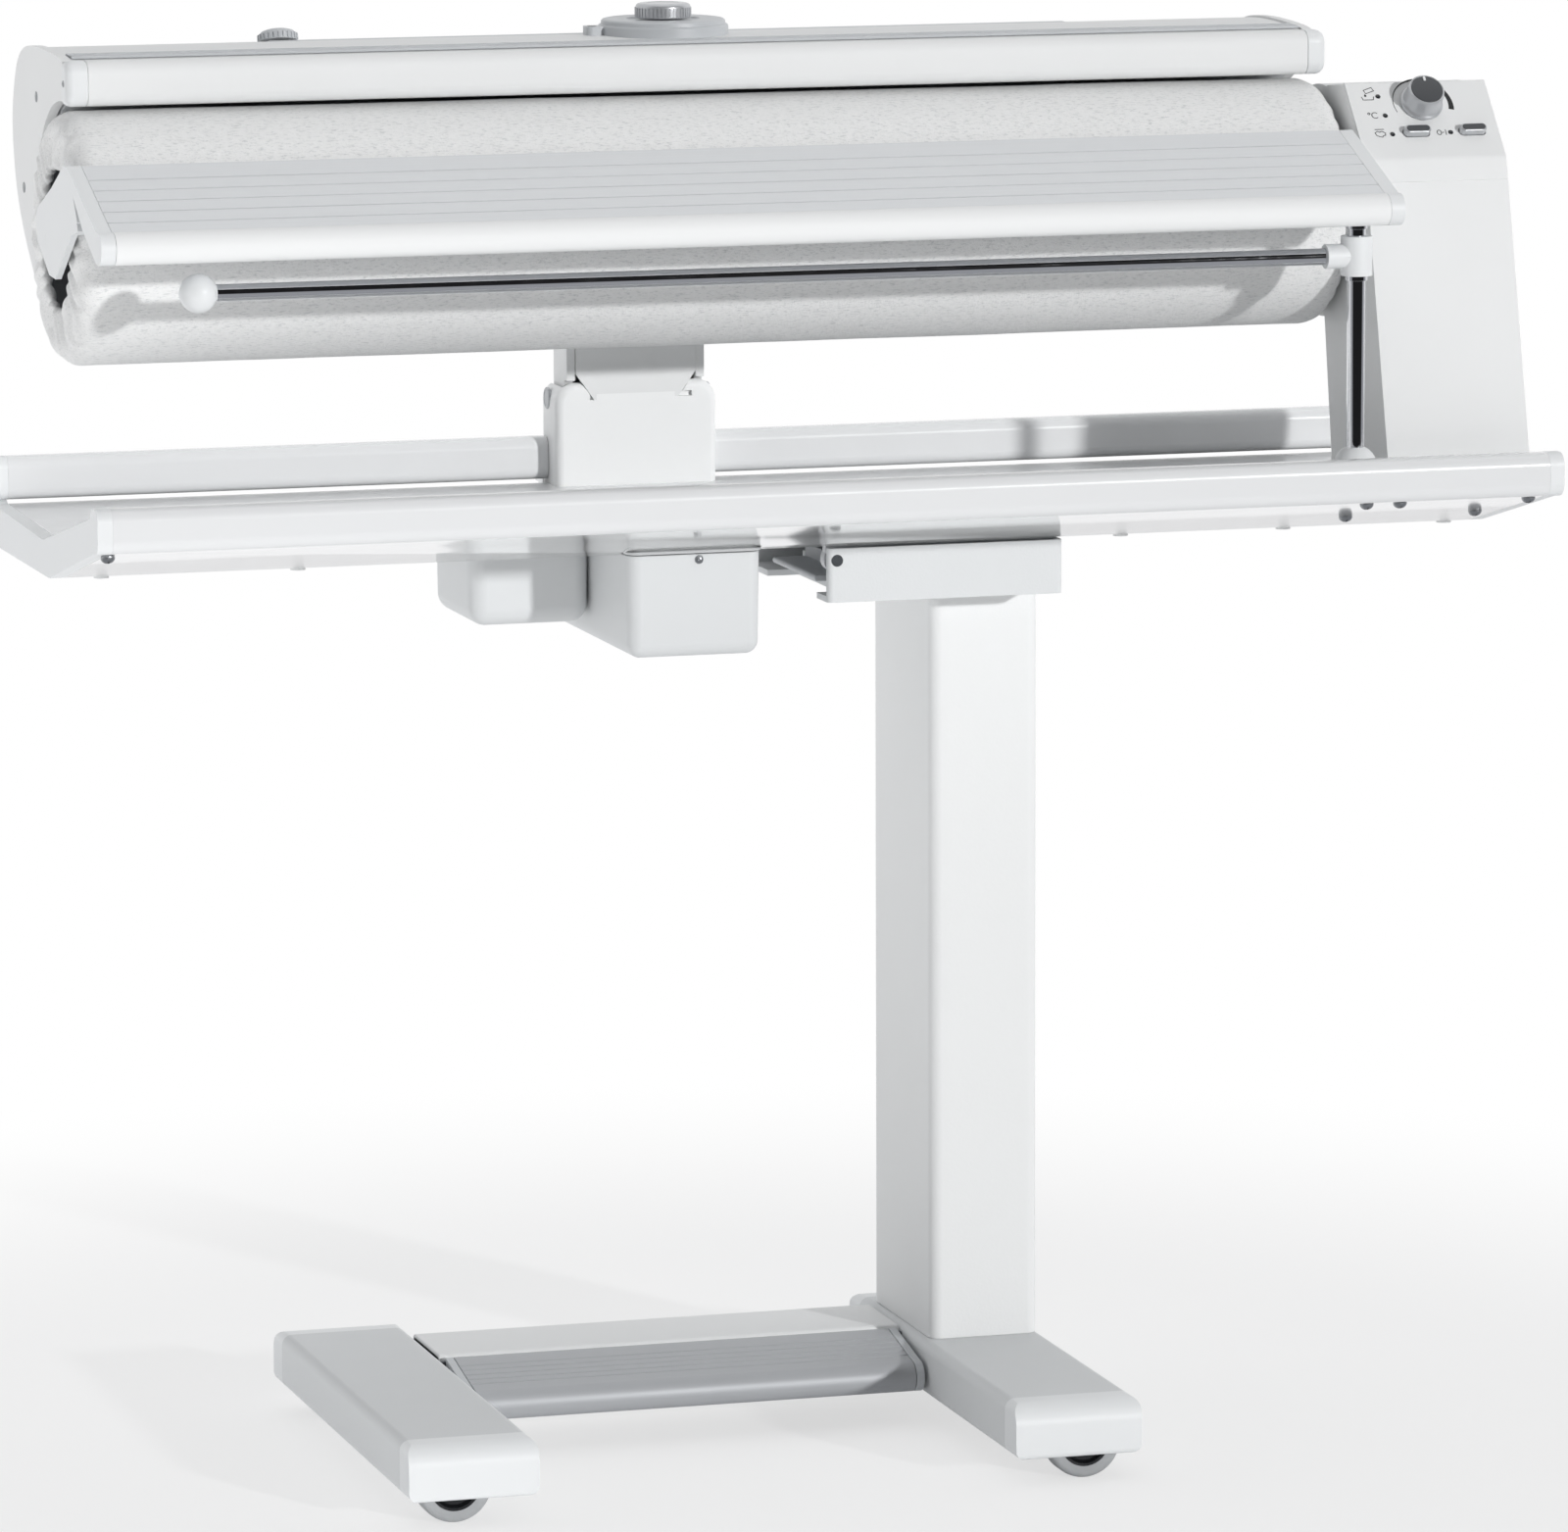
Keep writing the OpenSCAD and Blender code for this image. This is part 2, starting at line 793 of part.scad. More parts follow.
// Neck housing that carries the heater arm
cheek_t = 6;
slot_w = arm_w + 4;
panel_w = arm_w - 2 * cheek_t - 0.6;

module neck_outline(inset = 0) {
    r = 14;
    low = floor_z + 1;
    high = housing_top;
    mid = housing_x + housing_w / 2;
    w = housing_w - 2 * inset;
    translate([mid, 0]) union() {
        translate([-w / 2, low]) square([w, high - low - r]);
        translate([-w / 2 + r - inset, low]) square([w - 2 * (r - inset), high - inset - low]);
        for (s = [-1, 1])
            translate([s * (w / 2 - r + inset), high - r]) circle(r = r - inset);
    }
}

module neck_housing() {
    t = 3;
    skirt_y = rear_y + 0.4;
    color(white) difference() {
        union() {
            difference() {
                along_y(housing_front, housing_back) neck_outline();
                block([housing_x - 1, neck_back, neck_step],
                      [housing_x + housing_w + 1, housing_back + 1, housing_top + 1]);
            }
            block([housing_x + 2, skirt_y, beam_z + 2],
                  [housing_x + housing_w - 2, housing_back, floor_z + 2]);
        }
        difference() {
            along_y(housing_front + t, housing_back - t) difference() {
                neck_outline(t);
                translate([housing_x, floor_z - 1]) square([housing_w, 3]);
            }
            block([housing_x - 1, neck_back - t, neck_step - t],
                  [housing_x + housing_w + 1, housing_back + 1, housing_top + 1]);
        }
        block([housing_x + 2 + t, skirt_y + t, beam_z + 1],
              [housing_x + housing_w - 2 - t, housing_back - t, floor_z + 12]);
        along_x(housing_x - 1, housing_x + housing_w + 1) polygon([
            [housing_front - 1, floor_z - 4], [housing_front - 1, shelf_height(housing_front) + 0.3],
            [rear_in_y + 2, floor_z + floor_rise + 0.3], [skirt_y, floor_z + floor_rise + 0.3],
            [skirt_y, floor_z - 4]
        ]);
        block([arm_x - slot_w / 2, housing_front + t + 1.5, arm_z - 12],
              [arm_x + slot_w / 2, housing_back + 1, housing_top + 2]);
        block([arm_x - panel_w / 2 - 1, housing_front - 1, housing_top - 14],
              [arm_x + panel_w / 2 + 1, housing_front + t + 2, housing_top + 2]);
        rod_x(housing_x - 1, housing_x + housing_w + 1, arm_y, arm_z, pivot_r + run_gap);
    }
}

module arm_shaft() {
    color(steel) rod_x(housing_x + 0.4, housing_x + housing_w - 0.4, arm_y, arm_z, pivot_r);
}

// Heater arm and shoe

// Front and back edges of the arm, from low to high
arm_front = [
    [housing_front + 1, housing_top + 1.5], [housing_front + 1, arm_z + 40],
    [arm_y - 19, arm_z + 108], [arm_y - 17, arm_z + 119]
];
arm_back = [
    [arm_y + 1, arm_z + 171], [arm_y + 1, arm_z + 140], [arm_y + 4, arm_z + 108],
    [arm_y + 11, arm_z + 60], [arm_y + 11, arm_z]
];

// Outline of an arm cheek from the pivot up to the back of the shoe
module cheek_outline() {
    difference() {
        union() {
            translate([arm_y, arm_z]) circle(r = 11);
            polygon(concat(
                [[arm_y - 11, arm_z], [housing_front + 6, housing_top + 1.5]], arm_front,
                [[arm_y - 22, arm_z + 128], [arm_y - 50, arm_z + 134], [arm_y - 44, arm_z + 171]], arm_back
            ));
        }
        translate([axis_y, roller_z]) circle(r = shoe_back + 0.3, $fn = 128);
    }
}

module heater_arm() {
    color(white) difference() {
        union() {
            for (x = [arm_x - arm_w / 2, arm_x + arm_w / 2 - cheek_t])
                along_x(x, x + cheek_t) cheek_outline();
            rod_x(arm_x - arm_w / 2, arm_x + arm_w / 2, arm_y, arm_z, 10);
            along_x(arm_x - arm_w / 2, arm_x + arm_w / 2) polygon([
                [arm_y + 8, arm_z], [arm_y + 8, arm_z + 60], [arm_y + 1, arm_z + 108],
                [arm_y - 2, arm_z + 140], [arm_y + 1, arm_z + 140], [arm_y + 4, arm_z + 108],
                [arm_y + 11, arm_z + 60], [arm_y + 11, arm_z]
            ]);
        }
        rod_x(arm_x - arm_w, arm_x + arm_w, arm_y, arm_z, pivot_r + run_gap);
    }
}

// Front plate of the arm, with its lower corners cut off
module arm_panel() {
    t = 3.4;
    low = arm_z - 1;
    high = arm_z + 110;
    color(pale) intersection() {
        along_x(arm_x - arm_w / 2 + cheek_t, arm_x + arm_w / 2 - cheek_t) polygon([
            [housing_front + 1.4, low], [housing_front + 1.4, arm_z + 40], [arm_y - 18.6, high],
            [arm_y - 18.6 + t, high], [housing_front + 1.4 + t, arm_z + 40],
            [housing_front + 1.4 + t, low]
        ]);
        along_y(0, 300) union() {
            polygon([
                [arm_x + panel_w / 2 - 15, low - 1], [arm_x + panel_w / 2, arm_z + 18],
                [arm_x + panel_w / 2, arm_z + 40], [arm_x - panel_w / 2, arm_z + 40],
                [arm_x - panel_w / 2, arm_z + 18], [arm_x - panel_w / 2 + 15, low - 1]
            ]);
            translate([arm_x - arm_w / 2, arm_z + 40 - eps]) square([arm_w, 100]);
        }
    }
}

// Ring sector round the roller's axis, angles from the rear horizontal
module ring_sector(r0, r1, a0, a1) {
    reach = r1 * 2;
    mid = (a0 + a1) / 2;
    translate([axis_y, roller_z]) intersection() {
        difference() {
            circle(r = r1, $fn = 128);
            circle(r = r0, $fn = 128);
        }
        polygon([
            [0, 0], [reach * cos(a0), reach * sin(a0)], [reach * cos(mid), reach * sin(mid)],
            [reach * cos(a1), reach * sin(a1)]
        ]);
    }
}

shoe_left = cover_left + cover_cap + 1;
shoe_right = cover_right - cover_cap - 1;

module heated_shoe() {
    color(silver) union() {
        along_x(shoe_left, shoe_right) ring_sector(shoe_r, shoe_back, shoe_rear, shoe_front);
        for (x = [arm_x - arm_w / 2 + 6.3, arm_x + arm_w / 2 - 14.3])
            along_x(x, x + 8) ring_sector(shoe_back - 0.5, shoe_back + 16, -6, 10);
    }
}

// Three straight tubular elements on the shoe's back
module heating_elements() {
    seat_r = shoe_back + element_r + 0.2;
    color(copper) for (a = [26, 52, 78])
        rod_x(shoe_left + 30, shoe_right - 30, axis_y + seat_r * cos(a), roller_z + seat_r * sin(a),
              element_r);
}

// Outline of the heater's cover seen from the left end
cover_points = [
    [axis_y - 3, cover_top - 5], [axis_y + 2, cover_top - 2.5], [axis_y + 102, cover_top],
    [axis_y + 138, cover_top - 10], [axis_y + 152, cover_top - 30],
    [axis_y + 161, cover_top - 56], [axis_y + 151.5, cover_top - 97],
    [axis_y + 127, cover_top - 127.5], [axis_y + 92, cover_top - 155],
    [axis_y + 77, cover_top - 164]
];

module cover_outline() {
    difference() {
        polygon(concat(cover_points, [
            [axis_y + 70, cover_top - 160], [axis_y + 40, cover_top - 100],
            [axis_y - 3, cover_top - 60]
        ]));
        translate([axis_y, roller_z]) circle(r = shoe_r + 1.2, $fn = 128);
    }
}

// Room inside the cover, one wall smaller, open towards the shoe
module cover_room() {
    t = shell_t;
    polygon([
        [axis_y - 3 + t, cover_top - 5 - t], [axis_y + 2, cover_top - 2.5 - t],
        [axis_y + 102, cover_top - t], [axis_y + 138 - t * 0.6, cover_top - 10 - t],
        [axis_y + 152 - t, cover_top - 30 - t * 0.4], [axis_y + 161 - t, cover_top - 56],
        [axis_y + 151.5 - t, cover_top - 97 + t * 0.4],
        [axis_y + 127 - t * 0.6, cover_top - 127.5 + t], [axis_y + 92 - t * 0.5, cover_top - 155 + t],
        [axis_y + 60, cover_top - 174], [axis_y, cover_top - 120], [axis_y - 3 + t, cover_top - 60]
    ]);
}

module heater_cover() {
    notch_x = arm_w / 2 + 1;
    color(white) difference() {
        along_x(cover_left + cover_cap, cover_right - cover_cap) difference() {
            cover_outline();
            cover_room();
            translate([axis_y, roller_z]) circle(r = shoe_back + 0.4, $fn = 128);
        }
        along_x(arm_x - notch_x, arm_x + notch_x) polygon([
            [housing_front - 0.5, arm_z + 50], [housing_front + 3, arm_z + 124],
            [arm_y + 2.5, arm_z + 149], [arm_y + 30, arm_z + 130], [arm_y + 30, arm_z + 50]
        ]);
        translate([filler_x, filler_y, cover_top - 10]) cylinder(r = neck_r + 1, h = 20);
        on_drain() translate([0, 0, -10]) cylinder(r = drain_stem_r + run_gap, h = 20);
    }
}

module cover_cap_left() {
    color(white) difference() {
        along_x(cover_left, cover_left + cover_cap) cover_outline();
        for (at = [[80, -34], [124, -97]])
            rod_x(cover_left - 1, cover_left + 3, axis_y + at[0], cover_top + at[1], 3);
    }
}

module cover_cap_right() {
    color(white) along_x(cover_right - cover_cap, cover_right) cover_outline();
}

module steam_tank() {
    color(pale) difference() {
        along_x(tank_left, tank_right) polygon([
            [axis_y + 56, cover_top - 8], [axis_y + 62, cover_top - 3.2],
            [axis_y + 100, cover_top - 2.6], [axis_y + 132, cover_top - 12],
            [axis_y + 146, cover_top - 34], [axis_y + 153, cover_top - 60],
            [axis_y + 146, cover_top - 90], [axis_y + 112, cover_top - 92],
            [axis_y + 106, cover_top - 50], [axis_y + 60, cover_top - 22]
        ]);
        block([arm_x - arm_w / 2 - 2, axis_y + 50, arm_z + 100],
              [arm_x + arm_w / 2 + 2, axis_y + 170, arm_z + 174]);
        translate([filler_x, filler_y, cover_top - 20]) cylinder(r = neck_r + 0.1, h = 30);
        on_drain() translate([0, 0, -drain_stem_l - 1])
            cylinder(r = drain_stem_r + run_gap, h = 20);
    }
}

// Round plate with the filling neck, fitted to the cover's top
module filler_plate() {
    color(pale) difference() {
        translate([filler_x, filler_y, 0]) union() {
            translate([0, 0, cover_top - 6]) cylinder(r = filler_r, h = 10.2, $fn = 96);
            translate([0, 0, cover_top + 4]) cylinder(r = filler_r - 2, h = 3.8, $fn = 96);
            translate([-filler_r - 10, -7, cover_top - 6]) cube([20, 14, 9.4]);
        }
        along_x(filler_x - 80, filler_x + 80) translate([0, 0.2]) polygon([
            [axis_y - 3, cover_top - 5], [axis_y + 2, cover_top - 2.5], [axis_y + 102, cover_top],
            [axis_y + 138, cover_top - 10], [axis_y + 138, cover_top - 30],
            [axis_y - 3, cover_top - 30]
        ]);
        translate([filler_x, filler_y, cover_top - 13]) cylinder(r = neck_r - 3, h = 40);
    }
    color(pale) translate([filler_x, filler_y, cover_top - 12]) difference() {
        cylinder(r = neck_r, h = 13);
        translate([0, 0, -1]) cylinder(r = neck_r - 3, h = 15);
    }
}

module filler_cap() {
    z = cover_top + 7.8 + face_gap;
    color(silver) translate([filler_x, filler_y, 0]) union() {
        translate([0, 0, z]) cylinder(r = filler_cap_r, h = filler_cap_h - 1.5, $fn = 96);
        translate([0, 0, z + filler_cap_h - 1.5 - eps])
            cylinder(r = filler_cap_r - 1.5, h = 1.5, $fn = 96);
        translate([0, 0, z - 14]) cylinder(r = neck_r - 3 - run_gap, h = 14 + eps);
    }
}

// Place on the cover's rear slope: the origin on its face and +Z straight out of it
module on_drain() {
    translate([drain_x, drain_y, cover_top - 10 * (drain_y - axis_y - 102) / 36])
        rotate([-atan(10 / 36), 0, 0]) children();
}

module drain_knob() {
    ribs = 24;
    color(silver) on_drain() difference() {
        union() {
            translate([0, 0, face_gap]) cylinder(r = drain_r, h = drain_h, $fn = 96);
            translate([0, 0, -drain_stem_l])
                cylinder(r = drain_stem_r, h = drain_stem_l + face_gap + eps);
        }
        for (i = [0 : ribs - 1])
            rotate([0, 0, i * 360 / ribs]) translate([drain_r + 0.3, 0, 1.5])
                cylinder(r = 0.9, h = 11, $fn = 16);
    }
}

// Finger guard along the front of the cover, with its round end caps
module guard_outline() {
    translate([guard_y - guard_d / 2, guard_z + guard_h / 2])
        round_rect(guard_d, guard_h, 6);
}

module finger_guard() {
    color(white) difference() {
        along_x(guard_left, guard_right) guard_outline();
        along_x(guard_left + 14, guard_right - 14)
            translate([guard_y - guard_d / 2, guard_z + guard_h / 2])
                round_rect(guard_d - 4, guard_h - 4, 4.5);
    }
}

// Roller and its axle

module roller_axle() {
    wall = 4;
    color(steel) difference() {
        rod_x(axle_left, boss_x + boss_l, axis_y, roller_z, axle_r);
        rod_x(axle_left + 12, boss_x + boss_l + 1, axis_y, roller_z, axle_r - wall);
        rod_x(axle_left - 1, axle_left + 13, axis_y, roller_z, 3.3);
    }
}

module roller_bearings() {
    color(brass) for (x = [left_web_x, right_web_x])
        difference() {
            rod_x(x - 4, x + web_t + 4, axis_y, roller_z, axle_r + bush_t);
            rod_x(x - 5, x + web_t + 5, axis_y, roller_z, axle_r + run_gap);
        }
}

module roller_tube() {
    color(silver) difference() {
        union() {
            difference() {
                rod_x(tube_left, tube_right, axis_y, roller_z, tube_r, $fn = 128);
                rod_x(tube_left - 1, tube_right + 1, axis_y, roller_z, tube_r - tube_t, $fn = 128);
            }
            for (x = [left_web_x, right_web_x]) {
                rod_x(x, x + web_t, axis_y, roller_z, tube_r - tube_t + 0.5, $fn = 128);
                rod_x(x - 4, x + web_t + 4, axis_y, roller_z, hub_r);
            }
            rod_x(right_web_x, gear_x, axis_y, roller_z, hub_r);
        }
        rod_x(left_web_x - 5, left_web_x + web_t + 5, axis_y, roller_z, axle_r + bush_t + eps);
        rod_x(right_web_x - 5, gear_x + 1, axis_y, roller_z, axle_r + bush_t + eps);
    }
}

// Padding with its cloth drawn in over both ends
module roller_padding() {
    r = pad_round;
    half = roller_l / 2;
    mid = (roller_left + roller_right) / 2;
    inner = tube_r + 0.2;
    lip = 7.5;
    color(felt) translate([mid, axis_y, roller_z]) rotate([0, 90, 0])
        rotate_extrude($fn = 128) difference() {
            union() {
                translate([inner, -half + r]) square([roller_r - inner, roller_l - 2 * r]);
                for (s = [-1, 1]) {
                    translate([roller_r - r, s * (half - r)]) circle(r = r);
                    translate([mouth_r + lip / 2, s > 0 ? half - lip : -half])
                        square([roller_r - r - mouth_r - lip / 2, lip]);
                    translate([inner, s > 0 ? half - r : -half])
                        square([roller_r - r - inner, r]);
                    translate([mouth_r + lip / 2, s * (half - lip / 2)]) circle(r = lip / 2);
                }
            }
            translate([0, -half + lip]) square([inner, roller_l - 2 * lip]);
        }
}

// Spur gear along X with straight-sided teeth
module spur_gear(teeth, w, bore, turn) {
    pitch = gear_module * teeth / 2;
    root = pitch - 1.3 * gear_module;
    tip = pitch + 0.9 * gear_module;
    step = 360 / teeth;
    rotate([0, 90, 0]) linear_extrude(height = w) difference() {
        union() {
            circle(r = root, $fn = 96);
            for (i = [0 : teeth - 1])
                rotate(turn + i * step) polygon([
                    [root - 0.5, -gear_module * 0.95], [pitch, -gear_module * 0.66],
                    [tip, -gear_module * 0.3], [tip, gear_module * 0.3],
                    [pitch, gear_module * 0.66], [root - 0.5, gear_module * 0.95]
                ]);
        }
        circle(r = bore);
    }
}

// The extruded drawing's X axis points down, so angles here are taken from -Z towards -Y
mesh_angle = drive_angle - 270;

module roller_gear() {
    step = 360 / gear_teeth;
    color(white) translate([gear_x, axis_y, roller_z])
        spur_gear(gear_teeth, gear_w, axle_r + 1, mesh_angle + step / 2);
}

module motor_pinion() {
    step = 360 / pinion_teeth;
    color(brass) translate([gear_x, motor_y, motor_z]) union() {
        spur_gear(pinion_teeth, gear_w, 2, mesh_angle + 180);
        rotate([0, 90, 0]) translate([0, 0, -2]) cylinder(r = 3, h = gear_w + 14);
    }
}

module drive_motor() {
    x0 = gear_x + gear_w + 5;
    x1 = tower_x + tower_w - casing_t - 4;
    color(dark) difference() {
        union() {
            rod_x(frame_x + frame_t, x1, motor_y, motor_z, motor_r);
            rod_x(frame_x, frame_x + frame_t + eps, motor_y, motor_z, pilot_r);
            rod_x(x0, frame_x + eps, motor_y, motor_z, 12);
        }
        rod_x(x0 - 1, x0 + 10, motor_y, motor_z, 3 + run_gap);
    }
}

// Drive tower

// Side outline of the tower, one inset smaller all round
module tower_outline(inset = 0) {
    i = inset;
    union() {
        polygon([
            [tower_back - i, tower_low(tower_back)], [tower_back - i, floor_z + 25],
            [axis_y - 10 - i, roller_z - 79], [axis_y, roller_z],
            [axis_y - 12, tower_z - 3 - i], [panel_high[0] + i * 0.4, tower_z - i],
            [panel_low[0] + i, panel_low[1] - i * 0.4], [panel_low[0] - 2.8 + i, panel_low[1] - 7],
            [-99 + i, roller_z - 25], [tower_front + i, tower_low(tower_front) + 0.5],
            [tower_front + i, tower_low(tower_front)]
        ]);
        translate([axis_y, roller_z]) circle(r = tower_round - i, $fn = 96);
    }
}

// Height of the shelf's front slope under the tower
function tower_low(y) = floor_z + 0.1 + (floor_y - y) * post_slope;

module tower_casing() {
    color(white) difference() {
        along_x(tower_x, tower_x + tower_w) tower_outline();
        along_x(tower_x + casing_t, tower_x + tower_w - casing_t) union() {
            tower_outline(casing_t);
            translate([tower_front + casing_t, floor_z - 30])
                square([tower_back - tower_front - 2 * casing_t, 58]);
        }
        rod_x(tower_x - 1, tower_x + casing_t + 1, axis_y, roller_z, hub_hole_r);
        on_panel([knob_at[0], knob_at[1]]) translate([0, 0, -8]) cylinder(r = 3.2, h = 20);
        for (x = button_at)
            on_panel([x, button_low]) translate([0, 0, -8])
                linear_extrude(height = 20) round_rect(button_l + 1, button_w + 1, 3.6);
    }
}

// Place on the slanted panel face: x, and the way up the slope
module on_panel(at) {
    translate([at[0], panel_low[0], panel_low[1]]) rotate([panel_angle, 0, 0])
        translate([0, at[1], 0]) children();
}

module control_panel() {
    w = tower_w - 2 * panel_margin;
    l = panel_len - 2 * panel_margin;
    color(white) difference() {
        on_panel([tower_x + tower_w / 2, panel_len / 2])
            linear_extrude(height = panel_t) round_rect(w, l, 5);
        on_panel(knob_at) translate([0, 0, -1]) cylinder(r = 3.2, h = 10);
        for (x = button_at)
            on_panel([x, button_low]) translate([0, 0, -1])
                linear_extrude(height = 10) round_rect(button_l + 1, button_w + 1, 3.6);
    }
}

module temperature_knob() {
    base = panel_t + face_gap;
    color(silver) on_panel(knob_at) union() {
        translate([0, 0, base]) cylinder(r = knob_r, h = 3, $fn = 96);
        translate([0, 0, base + 3 - eps]) cylinder(r = knob_r - 3, h = knob_h - 3, $fn = 96);
        translate([0, 0, base - 9]) cylinder(r = 3, h = 9 + eps);
    }
}

module push_button(x) {
    rise = 5;
    on_panel([x, button_low]) translate([0, 0, -4.5])
        linear_extrude(height = panel_t + 4.5 + rise) round_rect(button_l, button_w, 3.2);
}

module button_left() {
    color(silver) push_button(button_at[0]);
}

module button_right() {
    color(silver) push_button(button_at[1]);
}

module control_board() {
    color(green) on_panel([tower_x + tower_w / 2, panel_len / 2 + 1]) union() {
        translate([-40, -27, -13]) cube([80, 50, 1.6]);
        for (x = [-24, 14]) translate([x, -20, -18.5]) cube([12, 14, 5.6]);
        for (x = [-36, 36], y = [-21, 17])
            translate([x, y, -11.5]) cylinder(r = 3, h = 11.5 - casing_t - 0.1);
    }
}

// Steel bracket inside the tower with the axle's boss
module tower_frame() {
    x = frame_x;
    t = frame_t;
    color(steel) difference() {
        union() {
            along_x(x, x + t) polygon([
                [-118, 700], [-118, tower_low(-118) + 0.2], [-30, tower_low(-30) + 0.2],
                [-30, 745], [axis_y + 40, roller_z - 30], [axis_y + 30, roller_z + 34],
                [axis_y - 30, roller_z + 34]
            ]);
            rod_x(boss_x, boss_x + boss_l, axis_y, roller_z, axle_r + 7);
            along_x(x, tower_x + tower_w - 14) polygon([
                [-118, tower_low(-118) + 0.2], [-30, tower_low(-30) + 0.2],
                [-30, tower_low(-30) + 5], [-118, tower_low(-118) + 5]
            ]);
        }
        rod_x(boss_x - 1, boss_x + boss_l + 1, axis_y, roller_z, axle_r + 0.02);
        rod_x(x - 1, x + t + 1, motor_y, motor_z, pilot_r + 0.02);
    }
}

// Feed board

// Outline of the board: slanted top and round nose
module board_outline() {
    union() {
        polygon([
            [board_back, board_z], [board_front + 3, nose_z + nose_r - 0.4],
            [board_front - nose_r * 0.7, nose_z], [board_front + 1, nose_z - nose_r],
            [board_front + 8, nose_z - nose_r + 1], [board_back - 44, nose_z + 9],
            [board_back - 2, board_z - 7]
        ]);
        translate([board_front, nose_z]) circle(r = nose_r);
    }
}

module feed_board() {
    color(silver) difference() {
        along_x(board_left + board_cap, board_right - board_cap) board_outline();
        for (i = [1 : 5]) {
            share = 0.06 + 0.16 * i;
            y = board_back + (board_front + 3 - board_back) * share;
            z = board_z + (nose_z + nose_r - 0.4 - board_z) * share;
            rod_x(board_left, board_right, y, z, 0.6, $fn = 16);
        }
    }
}

// Board end with the leg that reaches the roller's axle
module feed_bracket_left() {
    color(white) difference() {
        union() {
            along_x(board_left, board_left + board_cap) difference() {
                union() {
                    board_outline();
                    polygon([
                        [board_back + 6, board_z], [board_back, board_z], [board_front + 60, nose_z + 6],
                        [board_back - 8, roller_z + 9], [board_back + 10, board_z - 12]
                    ]);
                }
                translate([axis_y, roller_z]) circle(r = roller_r + 3, $fn = 128);
            }
            along_x(board_left, board_left + leg_t) union() {
                polygon([
                    [board_back + 9, board_z], [board_back - 6, board_z - 3],
                    [board_back - 30, roller_z + 20], [board_back - 9, roller_z + 8],
                    [axis_y - 31, roller_z - 23], [axis_y - 12, roller_z - 22],
                    [axis_y + 23, roller_z - 3], [axis_y + 28, roller_z + 10],
                    [axis_y + 23, roller_z + 18], [axis_y - 22, roller_z + 35]
                ]);
            }
        }
        rod_x(board_left - 1, board_left + leg_t + 1, axis_y, roller_z, 3.3);
    }
}

module feed_bracket_right() {
    boss = [board_back - 4, board_z - 14];
    color(white) union() {
        along_x(board_right - board_cap, board_right) board_outline();
        rod_x(board_right - eps, tower_x, boss[0], boss[1], 5);
    }
}

// Hanging rail

module hanging_post() {
    color(chrome) translate([post_x, post_y, post_foot - 8])
        cylinder(r = post_r, h = post_top - post_foot + 8);
}

// Half ball on the shelf and two collars on the post
module post_fittings() {
    z = post_foot + 3;
    color(white) {
        difference() {
            translate([post_x, post_y, z]) rotate_extrude($fn = 96) difference() {
                union() {
                    circle(r = base_r);
                    translate([0, -11]) square([base_r, 11]);
                }
                translate([-2 * base_r, -2 * base_r])
                    square([2 * base_r + post_r + 0.02, 4 * base_r]);
                translate([0, -2 * base_r]) square([2 * base_r, 2 * base_r - 11]);
            }
            along_x(post_x - 30, post_x + 30) polygon([
                [rail_back_y, floor_z - 20], [floor_y, floor_z - 20],
                [floor_y, tower_low(floor_y)], [rail_back_y, tower_low(rail_back_y)]
            ]);
        }
        for (low = [rail_z - tee_h / 2 - 3 - face_gap, post_top - 3])
            translate([post_x, post_y, low]) difference() {
                cylinder(r = post_r + 1.2, h = 3);
                translate([0, 0, -1]) cylinder(r = post_r + 0.02, h = 5);
            }
    }
}

module hanging_rail() {
    color(chrome) rod_x(post_x - rail_l + ball_r - 4, post_x - tee_r - 6, post_y, rail_z, bar_r);
}

// Tee on the post and ball on the free end
module rail_fittings() {
    color(white) {
        difference() {
            union() {
                translate([post_x, post_y, rail_z - tee_h / 2]) cylinder(r = tee_r, h = tee_h);
                rod_x(post_x - 22, post_x - 4, post_y, rail_z, bar_r + 2.6);
            }
            translate([post_x, post_y, rail_z - tee_h]) cylinder(r = post_r + run_gap, h = 2 * tee_h);
            rod_x(post_x - 23, post_x - tee_r - 6 + 0.1, post_y, rail_z, bar_r + run_gap);
        }
        difference() {
            translate([post_x - rail_l, post_y, rail_z]) sphere(r = ball_r);
            rod_x(post_x - rail_l + ball_r - 4.1, post_x - rail_l + 20, post_y, rail_z,
                  bar_r + run_gap);
        }
    }
}

foot_left();
foot_right();
foot_caps();
cross_beam();
column();
column_head();
stand_pins();
wheel_axles();
stand_screws();
wheel_front_left();
wheel_rear_left();
wheel_front_right();
wheel_rear_right();
foot_bar();
fold_latch();
shelf_beam();
beam_cap_left();
beam_cap_right();
bottom_cover();
fold_bracket();
beam_screws();
tower_frame();
tower_casing();
control_panel();
control_board();
drive_motor();
motor_pinion();
roller_axle();
roller_bearings();
roller_tube();
roller_padding();
roller_gear();
feed_board();
feed_bracket_left();
feed_bracket_right();
hanging_post();
post_fittings();
hanging_rail();
rail_fittings();
neck_housing();
pressure_housing_left();
pressure_housing_right();
pressure_motor();
cord_gland();
arm_shaft();
heater_arm();
arm_panel();
heated_shoe();
heating_elements();
heater_cover();
cover_cap_left();
cover_cap_right();
steam_tank();
filler_plate();
filler_cap();
drain_knob();
finger_guard();
temperature_knob();
button_left();
button_right();
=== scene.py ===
"""Looks of a rotary flatwork ironer on a wheeled column stand.

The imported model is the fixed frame: X runs along the roller, -Y is the user's side
and +Z is up. Sizes in this file are in millimetres, as on the drawing, and become
metres where a mesh is made.
"""

